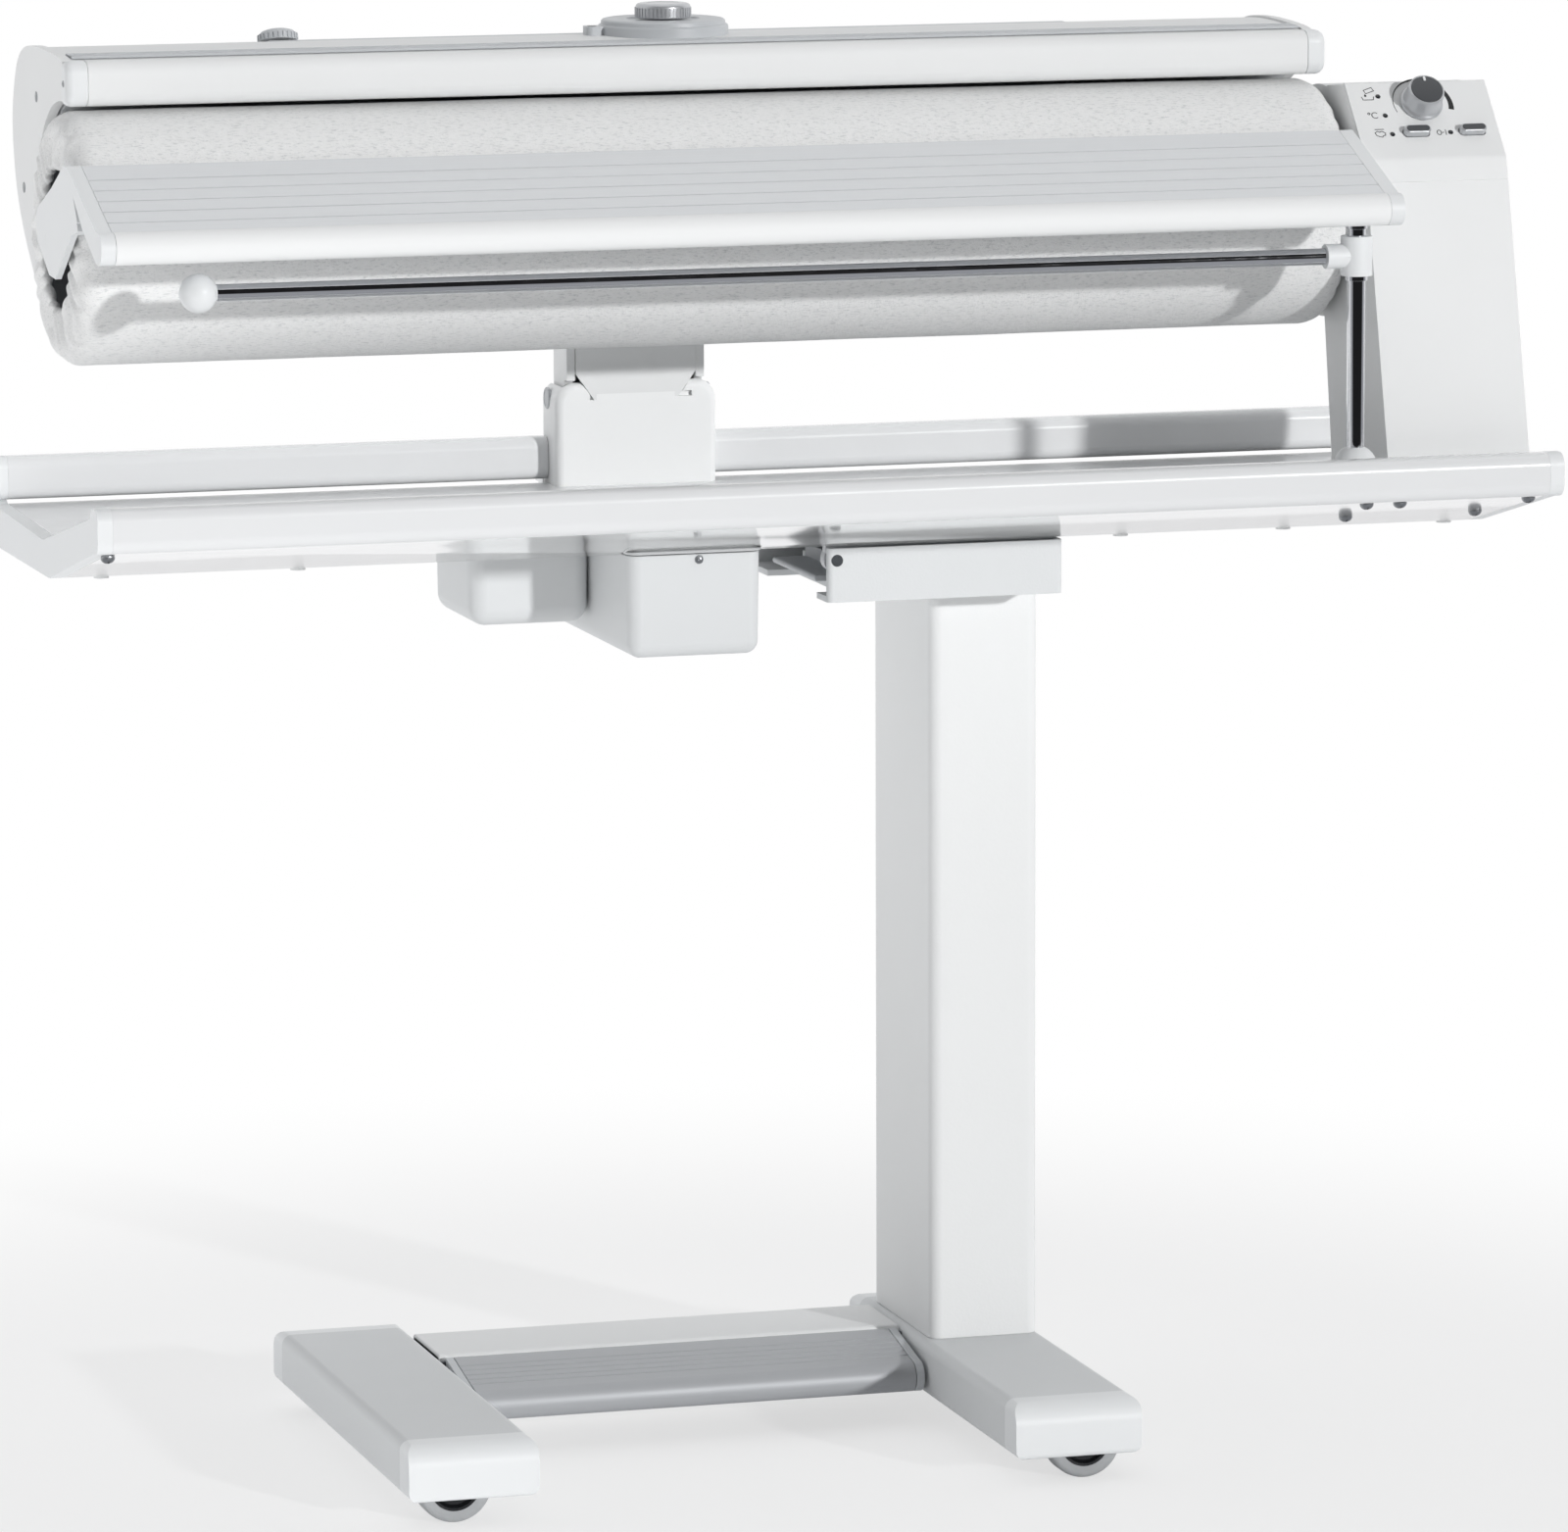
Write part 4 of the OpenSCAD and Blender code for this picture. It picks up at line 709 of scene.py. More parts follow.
class Work:
    """A mesh under construction, in metres at its real place."""

    def __init__(self) -> None:
        """Starts an empty mesh."""
        self.bm = bmesh.new()

    def slab(self, outline: Sequence[Point], low: float, high: float, place: Matrix,
             finish: int = 0) -> None:
        """Pulls a closed drawing along a place's own Z.

        Args:
            outline: the drawing's corners.
            low: where the pull starts.
            high: where it ends.
            place: where the drawing lies, in millimetres.
            finish: number of its finish.
        """
        rings = [[self.bm.verts.new((place @ Vector((a, b, h))) * MM) for a, b in outline]
                 for h in (low, high)]
        count = len(outline)
        faces = [self.bm.faces.new((rings[0][i], rings[0][(i + 1) % count], rings[1][(i + 1) % count],
                                    rings[1][i])) for i in range(count)]
        faces += [self.bm.faces.new(ring) for ring in rings]
        for face in faces:
            face.material_index = finish
        self.bm.normal_update()

    def prism(self, outline: Sequence[Point], start: float, end: float, axis: Axis = Axis.X,
              finish: int = 0) -> None:
        """Pulls a closed drawing along an axis; the drawing's sizes are the two other axes.

        Args:
            outline: the drawing's corners.
            start: where the pull starts.
            end: where it ends.
            axis: the direction of the pull.
            finish: number of its finish.
        """
        columns = {Axis.X: ((0, 0, 1), (1, 0, 0), (0, 1, 0)), Axis.Y: ((1, 0, 0), (0, 0, 1), (0, 1, 0)),
                   Axis.Z: ((1, 0, 0), (0, 1, 0), (0, 0, 1))}[axis]
        self.slab(outline, start, end, Matrix(columns).to_4x4(), finish)

    def lathe(self, profile: Sequence[Point], place: Matrix, steps: int = 64, finish: int = 0,
              closed: bool = False) -> None:
        """Turns a profile of radius and height about the place's own Z.

        Args:
            profile: radius and height in order; radius 0 closes a pole.
            place: where the turned piece stands, in millimetres.
            steps: faces round the piece.
            finish: number of its finish.
            closed: joins the last point to the first.
        """
        rings: list[list[bmesh.types.BMVert]] = []
        for radius, height in profile:
            if radius < 1e-6:
                rings.append([self.bm.verts.new((place @ Vector((0, 0, height))) * MM)])
                continue
            ring = []
            for k in range(steps):
                turn = 2 * math.pi * k / steps
                local = Vector((radius * math.cos(turn), radius * math.sin(turn), height))
                ring.append(self.bm.verts.new((place @ local) * MM))
            rings.append(ring)
        pairs = list(zip(rings, rings[1:])) + ([(rings[-1], rings[0])] if closed else [])
        faces = []
        for low, high in pairs:
            for k in range(steps):
                m = (k + 1) % steps
                corners = [low[k % len(low)], low[m % len(low)], high[m % len(high)], high[k % len(high)]]
                unique = list(dict.fromkeys(corners))
                if len(unique) > 2:
                    faces.append(self.bm.faces.new(unique))
        for face in faces:
            face.material_index = finish
        self.bm.normal_update()

    def loft(self, rings: Sequence[Sequence[Vector]], finish: int = 0) -> None:
        """Joins rings of one count and closes both ends.

        Args:
            rings: points in metres, ring after ring.
            finish: number of its finish.
        """
        made = [[self.bm.verts.new(point) for point in ring] for ring in rings]
        count = len(made[0])
        faces = [self.bm.faces.new((low[i], low[(i + 1) % count], high[(i + 1) % count], high[i]))
                 for low, high in zip(made, made[1:]) for i in range(count)]
        faces += [self.bm.faces.new(made[0]), self.bm.faces.new(made[-1])]
        for face in faces:
            face.material_index = finish
        self.bm.normal_update()

    def pillow(self, draw: Callable[[float], Sequence[Point]], start: float, end: float, axis: Axis,
               low_r: float = 0.0, high_r: float = 0.0, steps: int = 6, draft: float = 0.0,
               finish: int = 0) -> None:
        """Pulls a drawing along an axis and rounds its ends over.

        Args:
            draw: the drawing's outline, drawn in by a size.
            start: where the pull starts.
            end: where it ends.
            axis: the direction of the pull.
            low_r: radius at the start.
            high_r: radius at the end.
            steps: faces across each radius.
            draft: how much the drawing narrows from the end to the start.
            finish: number of its finish.
        """
        turns = [math.radians(90 * k / steps) for k in range(steps + 1)]
        low = [(start, 0.0)]
        if low_r:
            low = [(start + low_r * (1 - math.cos(t)), low_r * (1 - math.sin(t))) for t in turns]
        high = [(end, 0.0)]
        if high_r:
            high = [(end - high_r * (1 - math.cos(t)), high_r * (1 - math.sin(t))) for t in reversed(turns)]
        rings = []
        for along, drawn_in in low + high:
            drawn_in += draft * (end - along) / (end - start)
            rings.append([spot(axis, along, a, b) for a, b in draw(drawn_in)])
        self.loft(rings, finish)

    def cut(self, tool: "Work") -> None:
        """Takes another closed mesh out of this one, and frees it.

        Args:
            tool: the mesh that is taken out.
        """
        made = []
        for work in (self, tool):
            work.outward()
            mesh = bpy.data.meshes.new("cut")
            work.bm.to_mesh(mesh)
            made.append(bpy.data.objects.new("cut", mesh))
            bpy.context.scene.collection.objects.link(made[-1])
        mod = made[0].modifiers.new("cut", "BOOLEAN")
        mod.operation, mod.solver, mod.object = "DIFFERENCE", "EXACT", made[1]
        depsgraph = bpy.context.evaluated_depsgraph_get()
        result = bpy.data.meshes.new_from_object(made[0].evaluated_get(depsgraph), depsgraph=depsgraph)
        self.bm.clear()
        self.bm.from_mesh(result)
        tool.bm.free()
        for item in made:
            data = item.data
            bpy.data.objects.remove(item)
            bpy.data.meshes.remove(data)
        bpy.data.meshes.remove(result)

    def ease(self, chosen: Callable[[bmesh.types.BMEdge], bool], width: float, segments: int = 4) -> None:
        """Rounds the edges that a test picks.

        Args:
            chosen: says whether an edge is rounded.
            width: radius in millimetres.
            segments: faces across the rounding.
        """
        edges = [e for e in self.bm.edges if e.is_manifold and chosen(e)]
        bmesh.ops.bevel(self.bm, geom=edges, offset=width * MM, offset_type="OFFSET", segments=segments,
                        profile=0.5, affect="EDGES", clamp_overlap=True)

    def paint(self, chosen: Callable[[Vector, Vector], bool], finish: int) -> None:
        """Gives a finish to the faces whose centre in millimetres and normal pass a test.

        Args:
            chosen: the test.
            finish: number of the finish.
        """
        self.bm.normal_update()
        for face in self.bm.faces:
            if chosen(face.calc_center_median() / MM, face.normal):
                face.material_index = finish

    def outward(self) -> None:
        """Merges doubles and turns every face outwards."""
        bmesh.ops.remove_doubles(self.bm, verts=self.bm.verts, dist=MERGE_PIECE)
        bmesh.ops.recalc_face_normals(self.bm, faces=self.bm.faces)


@dataclass
class Workshop:
    """Turns meshes into finished pieces, and dresses the nodes that stay."""

    frame: dict[str, Any]
    made: int = 0

    def piece(self, name: str, work: Work, finishes: Union[Finish, Sequence[Finish]], body: Body,
              slot: Slot, replaces: Sequence[str] = (), bevel: float = 0.0, segments: int = 3,
              sharp: float = 32.0, turn_out: bool = True) -> bpy.types.Object:
        """Makes one finished piece.

        Args:
            name: the piece's name.
            work: its mesh.
            finishes: the finish or finishes, in the order of the faces' numbers.
            body: the body that it rides on.
            slot: the record's slot that it takes.
            replaces: the nodes that it stands for.
            bevel: radius of its edges, or 0.
            segments: faces across each edge.
            sharp: angle above which an edge stays sharp or is bevelled.
            turn_out: whether faces are turned outwards first.
        Returns:
            The object, at the origin with its place in its mesh.
        """
        if turn_out:
            work.outward()
        mesh = bpy.data.meshes.new(name)
        work.bm.to_mesh(mesh)
        work.bm.free()
        for finish in ([finishes] if isinstance(finishes, Finish) else finishes):
            mesh.materials.append(finish.material())
        mesh.shade_smooth()
        mesh.set_sharp_from_angle(angle=math.radians(sharp))
        made = bpy.data.objects.new(name, mesh)
        bpy.context.scene.collection.objects.link(made)
        if bevel > 0:
            mod = made.modifiers.new("edges", "BEVEL")
            mod.width, mod.segments = bevel * MM, segments
            mod.limit_method, mod.angle_limit = "ANGLE", math.radians(sharp)
            mod.use_clamp_overlap = True
            mod.miter_outer = "MITER_ARC"
        mod = made.modifiers.new("flats", "WEIGHTED_NORMAL")
        mod.keep_sharp = True
        self.bake(made)
        return self.enrol(made, body, slot, replaces)

    def bake(self, made: bpy.types.Object) -> None:
        """Turns an object's modifiers into its plain mesh.

        Args:
            made: the object.
        """
        depsgraph = bpy.context.evaluated_depsgraph_get()
        mesh = bpy.data.meshes.new_from_object(made.evaluated_get(depsgraph), depsgraph=depsgraph)
        old = made.data
        made.modifiers.clear()
        made.data = mesh
        mesh.name = made.name
        bpy.data.meshes.remove(old)

    def enrol(self, made: bpy.types.Object, body: Body, slot: Slot,
              replaces: Sequence[str] = ()) -> bpy.types.Object:
        """Hangs a piece on its body and hides what it stands for.

        Args:
            made: the object.
            body: its body.
            slot: not used.
            replaces: the nodes that it stands for.
        Returns:
            The same object.
        """
        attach(made, body.value)
        if replaces:
            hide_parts(*replaces)
        self.made += 1
        LOG.info("piece %s on %s: %d faces", made.name, body.value, len(made.data.polygons))
        return made

    def soften(self, node: str, finish: Finish, body: Body, slot: Slot, width: float,
               segments: int = 3, sharp: float = 32.0,
               move: Optional[Callable[[Vector], Vector]] = None) -> bpy.types.Object:
        """Replaces a node by a copy with merged faces and eased edges.

        Args:
            node: the node.
            finish: its finish.
            body: its body.
            slot: its slot.
            width: radius of the eased edges.
            segments: faces across each edge.
            sharp: angle above which an edge is eased.
            move: where each point goes, in millimetres.
        Returns:
            The new piece.
        """
        work = Work()
        work.bm.from_mesh(self.frame["nodes"][node].data)
        if move is not None:
            for vert in work.bm.verts:
                vert.co = move(vert.co / MM) * MM
        for face in work.bm.faces:
            face.material_index = 0
        bmesh.ops.remove_doubles(work.bm, verts=work.bm.verts, dist=MERGE_NODE)
        bmesh.ops.dissolve_limit(work.bm, angle_limit=math.radians(FLAT_ANGLE), verts=work.bm.verts,
                                 edges=work.bm.edges)
        for layer in list(work.bm.loops.layers.uv.values()):
            work.bm.loops.layers.uv.remove(layer)
        return self.piece(node + "_shell", work, finish, body, slot, [node], width, segments, sharp,
                          turn_out=False)

    def dress(self, finish: Finish, *nodes: str) -> None:
        """Gives nodes whose shape is right a finish.

        Args:
            finish: the finish.
            nodes: the nodes.
        """
        for node in nodes:
            data = self.frame["nodes"][node].data
            data.materials.clear()
            data.materials.append(finish.material())
            LOG.info("node %s: %s", node, finish.title)


# ---- repeated parts

class Growth:
    """A Geometry Nodes tree with named sizes, ending in real faces and one material."""

    kinds = {int: "NodeSocketInt", float: "NodeSocketFloat", tuple: "NodeSocketVector"}

    def __init__(self, title: str, sizes: dict[str, Any]) -> None:
        """Makes the tree's inputs.

        Args:
            title: the tree's name.
            sizes: usual values by input name.
        """
        self.tree = bpy.data.node_groups.new(title, "GeometryNodeTree")
        sockets = self.tree.interface
        sockets.new_socket("Geometry", in_out="INPUT", socket_type="NodeSocketGeometry")
        for name, usual in sizes.items():
            made = sockets.new_socket(name, in_out="INPUT", socket_type=self.kinds[type(usual)])
            made.default_value = usual
        sockets.new_socket("Geometry", in_out="OUTPUT", socket_type="NodeSocketGeometry")
        self.start = self.tree.nodes.new("NodeGroupInput")
        self.end = self.tree.nodes.new("NodeGroupOutput")

    def size(self, name: str) -> bpy.types.NodeSocket:
        """One named input."""
        return self.start.outputs[name]

    def node(self, kind: str, settings: Optional[dict[str, Any]] = None,
             inputs: Optional[dict[Union[str, int], Any]] = None) -> bpy.types.Node:
        """Adds a node.

        Args:
            kind: the node's type.
            settings: its own settings, set first.
            inputs: values or sockets by name or number.
        Returns:
            The node.
        """
        made = self.tree.nodes.new(kind)
        for name, value in (settings or {}).items():
            setattr(made, name, value)
        for name, value in (inputs or {}).items():
            for one in value if isinstance(value, list) else [value]:
                if isinstance(one, bpy.types.NodeSocket):
                    self.tree.links.new(one, made.inputs[name])
                else:
                    made.inputs[name].default_value = one
        return made

    def maths(self, operation: str, *values: Any) -> bpy.types.NodeSocket:
        """Adds one Math node and gives its value."""
        return self.node("ShaderNodeMath", {"operation": operation}, dict(enumerate(values))).outputs[0]

    def close(self, shape: bpy.types.NodeSocket, finish: Finish) -> None:
        """Ends the tree in real faces with a finish.

        Args:
            shape: the tree's result.
            finish: its finish.
        """
        real = self.node("GeometryNodeRealizeInstances", {}, {0: shape}).outputs[0]
        dyed = self.node("GeometryNodeSetMaterial", {}, {"Geometry": real, "Material": finish.material()})
        self.tree.links.new(dyed.outputs[0], self.end.inputs[0])

    def grow(self, shop: "Workshop", name: str, mesh: bpy.types.Mesh,
             values: dict[str, Any]) -> bpy.types.Object:
        """Runs the tree on a mesh and keeps the result as a plain mesh.

        Args:
            shop: the workshop.
            name: the new object's name.
            mesh: what the tree starts from.
            values: sizes by input name.
        Returns:
            The object, not yet riding on a body.
        """
        made = bpy.data.objects.new(name, mesh)
        bpy.context.scene.collection.objects.link(made)
        mod = made.modifiers.new(self.tree.name, "NODES")
        mod.node_group = self.tree
        for item in self.tree.interface.items_tree:
            if item.in_out == "INPUT" and item.name in values:
                mod[item.identifier] = values[item.name]
        shop.bake(made)
        return made


class ScrewTree(Growth):
    """Domed screws with a cross recess on every point, turned along its facing."""

    def __init__(self, title: str, finish: Finish) -> None:
        """Builds the head once and puts it on the points.

        Args:
            title: the tree's name.
            finish: what it is made of.
        """
        super().__init__(title, {"Head Radius": 3 * MM, "Head Height": 1.6 * MM})
        radius, height = self.size("Head Radius"), self.size("Head Height")
        ball = self.node("GeometryNodeMeshUVSphere", {}, {
            "Segments": 28, "Rings": 14, "Radius": 1.0}).outputs[0]
        form = self.node("ShaderNodeCombineXYZ", {}, {0: radius, 1: radius, 2: height}).outputs[0]
        head = self.node("GeometryNodeTransform", {}, {"Geometry": ball, "Scale": form}).outputs[0]
        thin = self.maths("MULTIPLY", radius, 0.2)
        bars = []
        for pair in ((radius, thin), (thin, radius)):
            size = self.node("ShaderNodeCombineXYZ", {}, {0: pair[0], 1: pair[1], 2: height}).outputs[0]
            bar = self.node("GeometryNodeMeshCube", {}, {"Size": size}).outputs[0]
            lift = self.node("ShaderNodeCombineXYZ", {}, {2: self.maths("MULTIPLY", height, 1.1)}).outputs[0]
            bars.append(self.node("GeometryNodeTransform", {}, {
                "Geometry": bar, "Translation": lift}).outputs[0])
        cut = self.node("GeometryNodeMeshBoolean", {"operation": "DIFFERENCE"}, {0: head, 1: bars}).outputs[0]
        facing = self.node("GeometryNodeInputNamedAttribute", {"data_type": "FLOAT_VECTOR"},
                           {"Name": "facing"}).outputs[0]
        turn = self.node("FunctionNodeAlignRotationToVector", {"axis": "Z"}, {"Vector": facing}).outputs[0]
        spread = self.node("GeometryNodeInstanceOnPoints", {}, {
            "Points": self.start.outputs[0], "Instance": cut, "Rotation": turn}).outputs[0]
        self.close(spread, finish)


class RibTree(Growth):
    """Upright ribs round a circle, aimed outwards, then set in place."""

    def __init__(self, title: str, finish: Finish) -> None:
        """Builds one rib, repeats it round the circle and moves the ring.

        Args:
            title: the tree's name.
            finish: what it is made of.
        """
        super().__init__(title, {
            "Count": 24, "Ring Radius": 10 * MM, "Rib Size": (0.8 * MM, 0.8 * MM, 8 * MM),
            "Lift": (0.0, 0.0, 0.0), "Turn": (0.0, 0.0, 0.0)})
        ring = self.node("GeometryNodeMeshCircle", {}, {
            "Vertices": self.size("Count"), "Radius": self.size("Ring Radius")}).outputs[0]
        rib = self.node("GeometryNodeMeshCube", {}, {"Size": self.size("Rib Size")}).outputs[0]
        where = self.node("GeometryNodeInputPosition").outputs[0]
        aim = self.node("FunctionNodeAlignRotationToVector", {"axis": "X"}, {"Vector": where}).outputs[0]
        around = self.node("GeometryNodeInstanceOnPoints", {}, {
            "Points": ring, "Instance": rib, "Rotation": aim}).outputs[0]
        placed = self.node("GeometryNodeTransform", {}, {
            "Geometry": around, "Translation": self.size("Lift"), "Rotation": self.size("Turn")}).outputs[0]
        self.close(placed, finish)


class RowTree(Growth):
    """Equal bars side by side in a row."""

    def __init__(self, title: str, finish: Finish) -> None:
        """Builds one bar and repeats it along a line.

        Args:
            title: the tree's name.
            finish: what it is made of.
        """
        super().__init__(title, {
            "Count": 5, "First": (0.0, 0.0, 0.0), "Step": (0.0, 0.003, 0.0),
            "Bar Size": (0.1, 0.001, 0.001)})
        line = self.node("GeometryNodeMeshLine", {"mode": "OFFSET"}, {
            "Count": self.size("Count"), "Start Location": self.size("First"),
            "Offset": self.size("Step")}).outputs[0]
        bar = self.node("GeometryNodeMeshCube", {}, {"Size": self.size("Bar Size")}).outputs[0]
        row = self.node("GeometryNodeInstanceOnPoints", {}, {"Points": line, "Instance": bar}).outputs[0]
        self.close(row, finish)


class GatherTree(Growth):
    """Cloth drawn in over an end: pillows between creases, and a soft unevenness."""

    def __init__(self, title: str, finish: Finish) -> None:
        """Moves each point along its normal by folds and by slow noise.

        Args:
            title: the tree's name.
            finish: what it is made of.
        """
        super().__init__(title, {
            "Fold Count": 26.0, "Fold Depth": 4 * MM, "Unevenness": 0.8 * MM, "Seed": 3.0})
        name = {"data_type": "FLOAT"}
        around = self.node("GeometryNodeInputNamedAttribute", name, {"Name": "around"}).outputs[0]
        gather = self.node("GeometryNodeInputNamedAttribute", name, {"Name": "gather"}).outputs[0]
        slow = self.node("ShaderNodeTexNoise", {"noise_dimensions": "4D"}, {
            "W": self.size("Seed"), "Scale": 22.0, "Detail": 1.0}).outputs[0]
        warp = self.maths("MULTIPLY", self.maths("SUBTRACT", slow, 0.5), 11.0)
        phase = self.maths("ADD", self.maths("MULTIPLY", around, self.size("Fold Count")), warp)
        pillow = self.maths("POWER", self.maths("ABSOLUTE", self.maths("SINE", phase)), 1.5)
        fold = self.maths("MULTIPLY", self.maths("SUBTRACT", pillow, 0.8), self.size("Fold Depth"))
        fold = self.maths("MULTIPLY", fold, gather)
        lumps = self.node("ShaderNodeTexNoise", {"noise_dimensions": "4D"}, {
            "W": self.maths("ADD", self.size("Seed"), 4.0), "Scale": 9.0, "Detail": 2.0}).outputs[0]
        rough = self.maths("MULTIPLY", self.maths("SUBTRACT", lumps, 0.62), self.size("Unevenness"))
        normal = self.node("GeometryNodeInputNormal").outputs[0]
        offset = self.node("ShaderNodeVectorMath", {"operation": "SCALE"}, {
            0: normal, "Scale": self.maths("ADD", fold, rough)}).outputs[0]
        moved = self.node("GeometryNodeSetPosition", {}, {
            "Geometry": self.start.outputs[0], "Offset": offset}).outputs[0]
        self.close(moved, finish)


@dataclass(frozen=True)
class Screw:
    """Where a screw head sits and which way it looks."""

    at: Spot
    facing: Spot


def drive_screws(shop: Workshop, tree: ScrewTree, name: str, screws: Sequence[Screw], body: Body, slot: Slot,
                 radius: float = 3.0, height: float = 1.8) -> None:
    """Puts screw heads on a list of places.

    Args:
        shop: the workshop.
        tree: the screws' tree.
        name: the piece's name.
        screws: the places.
        body: the body.
        slot: the slot.
        radius: the heads' radius.
        height: the heads' height.
    """
    mesh = bpy.data.meshes.new(name)
    mesh.from_pydata([tuple(Vector(s.at) * MM) for s in screws], [], [])
    facing = mesh.attributes.new("facing", "FLOAT_VECTOR", "POINT")
    for item, screw in zip(facing.data, screws):
        item.vector = screw.facing
    made = tree.grow(shop, name, mesh, {"Head Radius": radius * MM, "Head Height": height * MM})
    made.data.shade_flat()
    shop.enrol(made, body, slot)


# ---- stand

@dataclass
class Stand:
    """Two feet on wheels, cross beam, foot bar, column and its folding head."""

    shop: Workshop
    foot_x: tuple[float, float] = (-253.5, 157.5)
    wheel_out: float = 9.0
    wheel_y: float = 165.5
    wheel_r: float = 25.0
    wheel_w: float = 20.0
    bar: tuple[float, float] = (-207.0, 111.0)
    hinge: Point = (67.6, 50.0)
    nose: Point = (12.6, 33.0)
    nose_r: float = 10.5
    tube_edge: float = 0.8
    cap_edge: float = 1.6
    head_edge: float = 1.2
    latch_edge: float = 0.6
    bar_cap: float = 5.6
    bar_gap: float = 6.0
    bar_grooves: tuple[float, ...] = (0.26, 0.40, 0.54, 0.68, 0.82)

    def build(self) -> None:
        """Makes every piece of the stand."""
        self.tubes()
        self.wheels()
        self.foot_bar()

    def tubes(self) -> None:
        """Feet, beam, column and head with eased edges; the feet and the head take the darker copy of the
        coat, a painted shade.
        """
        shop = self.shop
        # feet: the darker copy of the white coat, a painted shade
        for node in ("foot_left", "foot_right"):
            shop.soften(node, PAINTED_SHADE_COAT, Body.STAND, Slot.ENAMEL, self.tube_edge)
        shop.soften("foot_caps", CAP_PLASTIC, Body.STAND, Slot.PALE, self.cap_edge)
        for node in ("cross_beam", "column"):
            shop.soften(node, ENAMEL, Body.STAND, Slot.ENAMEL, self.tube_edge)
        # column head: the same darker copy of the coat, a painted shade
        shop.soften("column_head", PAINTED_SHADE_COAT, Body.STAND, Slot.ENAMEL, self.head_edge)
        shop.soften("fold_latch", GREY_PLASTIC, Body.FOLD_LATCH, Slot.GREY, self.latch_edge)
        shop.dress(PIN_STEEL, "stand_pins")
        shop.dress(STEEL, "wheel_axles", "stand_screws")

    def wheels(self) -> None:
        """Four wheels: grey tread on a glossy dished hub."""
        r, w = self.wheel_r, self.wheel_w / 2
        tread = [(17.0, -w + 0.6), (21.5, -w), (23.6, -w + 0.7), (24.7, -w + 2.2), (r, -w + 4.5)]
        tread += [(radius, -height) for radius, height in reversed(tread)]
        hub = [(4.05, -w + 0.2), (6.6, -w + 0.2), (7.2, -w + 0.8), (7.6, -w + 2.6), (13.2, -w + 3.0),
               (14.6, -w + 1.4), (15.2, -w + 0.5), (17.0, -w + 0.3)]
        hub += [(radius, -height) for radius, height in reversed(hub)]
        places = {
            Body.WHEEL_FRONT_LEFT: (self.foot_x[0] - self.wheel_out, -self.wheel_y),
            Body.WHEEL_REAR_LEFT: (self.foot_x[0] - self.wheel_out, self.wheel_y),
            Body.WHEEL_FRONT_RIGHT: (self.foot_x[1] + self.wheel_out, -self.wheel_y),
            Body.WHEEL_REAR_RIGHT: (self.foot_x[1] + self.wheel_out, self.wheel_y)}
        for body, (x, y) in places.items():
            place = Matrix.Translation((x, y, r)) @ Matrix.Rotation(math.pi / 2, 4, "X")
            work = Work()
            work.lathe(tread, place, 72, 0, closed=True)
            work.lathe(hub, place, 72, 1, closed=True)
            self.shop.piece(body.value + "_tyre", work, [TREAD, HUB], body, Slot.WHEEL, [body.value],
                            sharp=40)

    def foot_bar(self) -> None:
        """Ribbed foot bar with a round nose and grey end pieces."""
        high = (self.hinge[0] - 0.5, self.hinge[1] + 3.9)
        low = (self.nose[0] - 0.5, self.nose[1] + self.nose_r - 0.1)
        outline = grooved(high, low, self.bar_grooves, 1.7, 0.9)
        outline += arc(self.nose, self.nose_r, 95, 275, 18)
        outline += [(self.nose[0] + self.nose_r, self.nose[1] - 5), (self.hinge[0] + 1, self.hinge[1] - 3.9)]
        outline += arc(self.hinge, 4.0, -60, 80, 8)
        work = Work()
        work.prism(outline, self.bar[0] + self.bar_gap, self.bar[1] - self.bar_gap)
        plain = [high, low] + arc(self.nose, self.nose_r, 95, 275, 18) + outline[-11:]
        left, right = self.bar
        for x0, x1 in ((left, left + self.bar_cap), (right - self.bar_cap, right)):
            work.prism(plain, x0, x1, finish=1)
        self.shop.piece("foot_bar_shell", work, [BAR_METAL, GREY_PLASTIC], Body.FOOT_BAR, Slot.SILVER,
                        ["foot_bar"], bevel=0.5, segments=2, sharp=28)


def arc(centre: Point, radius: float, start: float, end: float, steps: int) -> list[Point]:
    """Points on an arc from one angle to another, in degrees.

    Args:
        centre: the arc's centre.
        radius: its radius.
        start: the first angle.
        end: the last angle.
        steps: parts of the arc.
    Returns:
        The points.
    """
    out = []
    for k in range(steps + 1):
        turn = math.radians(start + (end - start) * k / steps)
        out.append((centre[0] + radius * math.cos(turn), centre[1] + radius * math.sin(turn)))
    return out


def grooved(start: Point, end: Point, shares: Iterable[float], width: float, depth: float) -> list[Point]:
    """A straight face with shallow grooves in it.

    Args:
        start: the face's first point.
        end: its last point.
        shares: where the grooves lie, from 0 to 1.
        width: the grooves' width.
        depth: their depth, to the left of the way from start to end.
    Returns:
        The face's points with both ends.
    """
    first, last = Vector(start), Vector(end)
    along = (last - first).normalized()
    inward = Vector((-along.y, along.x))
    out = [first]
    for share in shares:
        middle = first.lerp(last, share)
        out += [middle - along * width / 2, middle - along * width * 0.3 + inward * depth,
                middle + along * width * 0.3 + inward * depth, middle + along * width / 2]
    out.append(last)
    return [(v.x, v.y) for v in out]


# ---- beam and tower

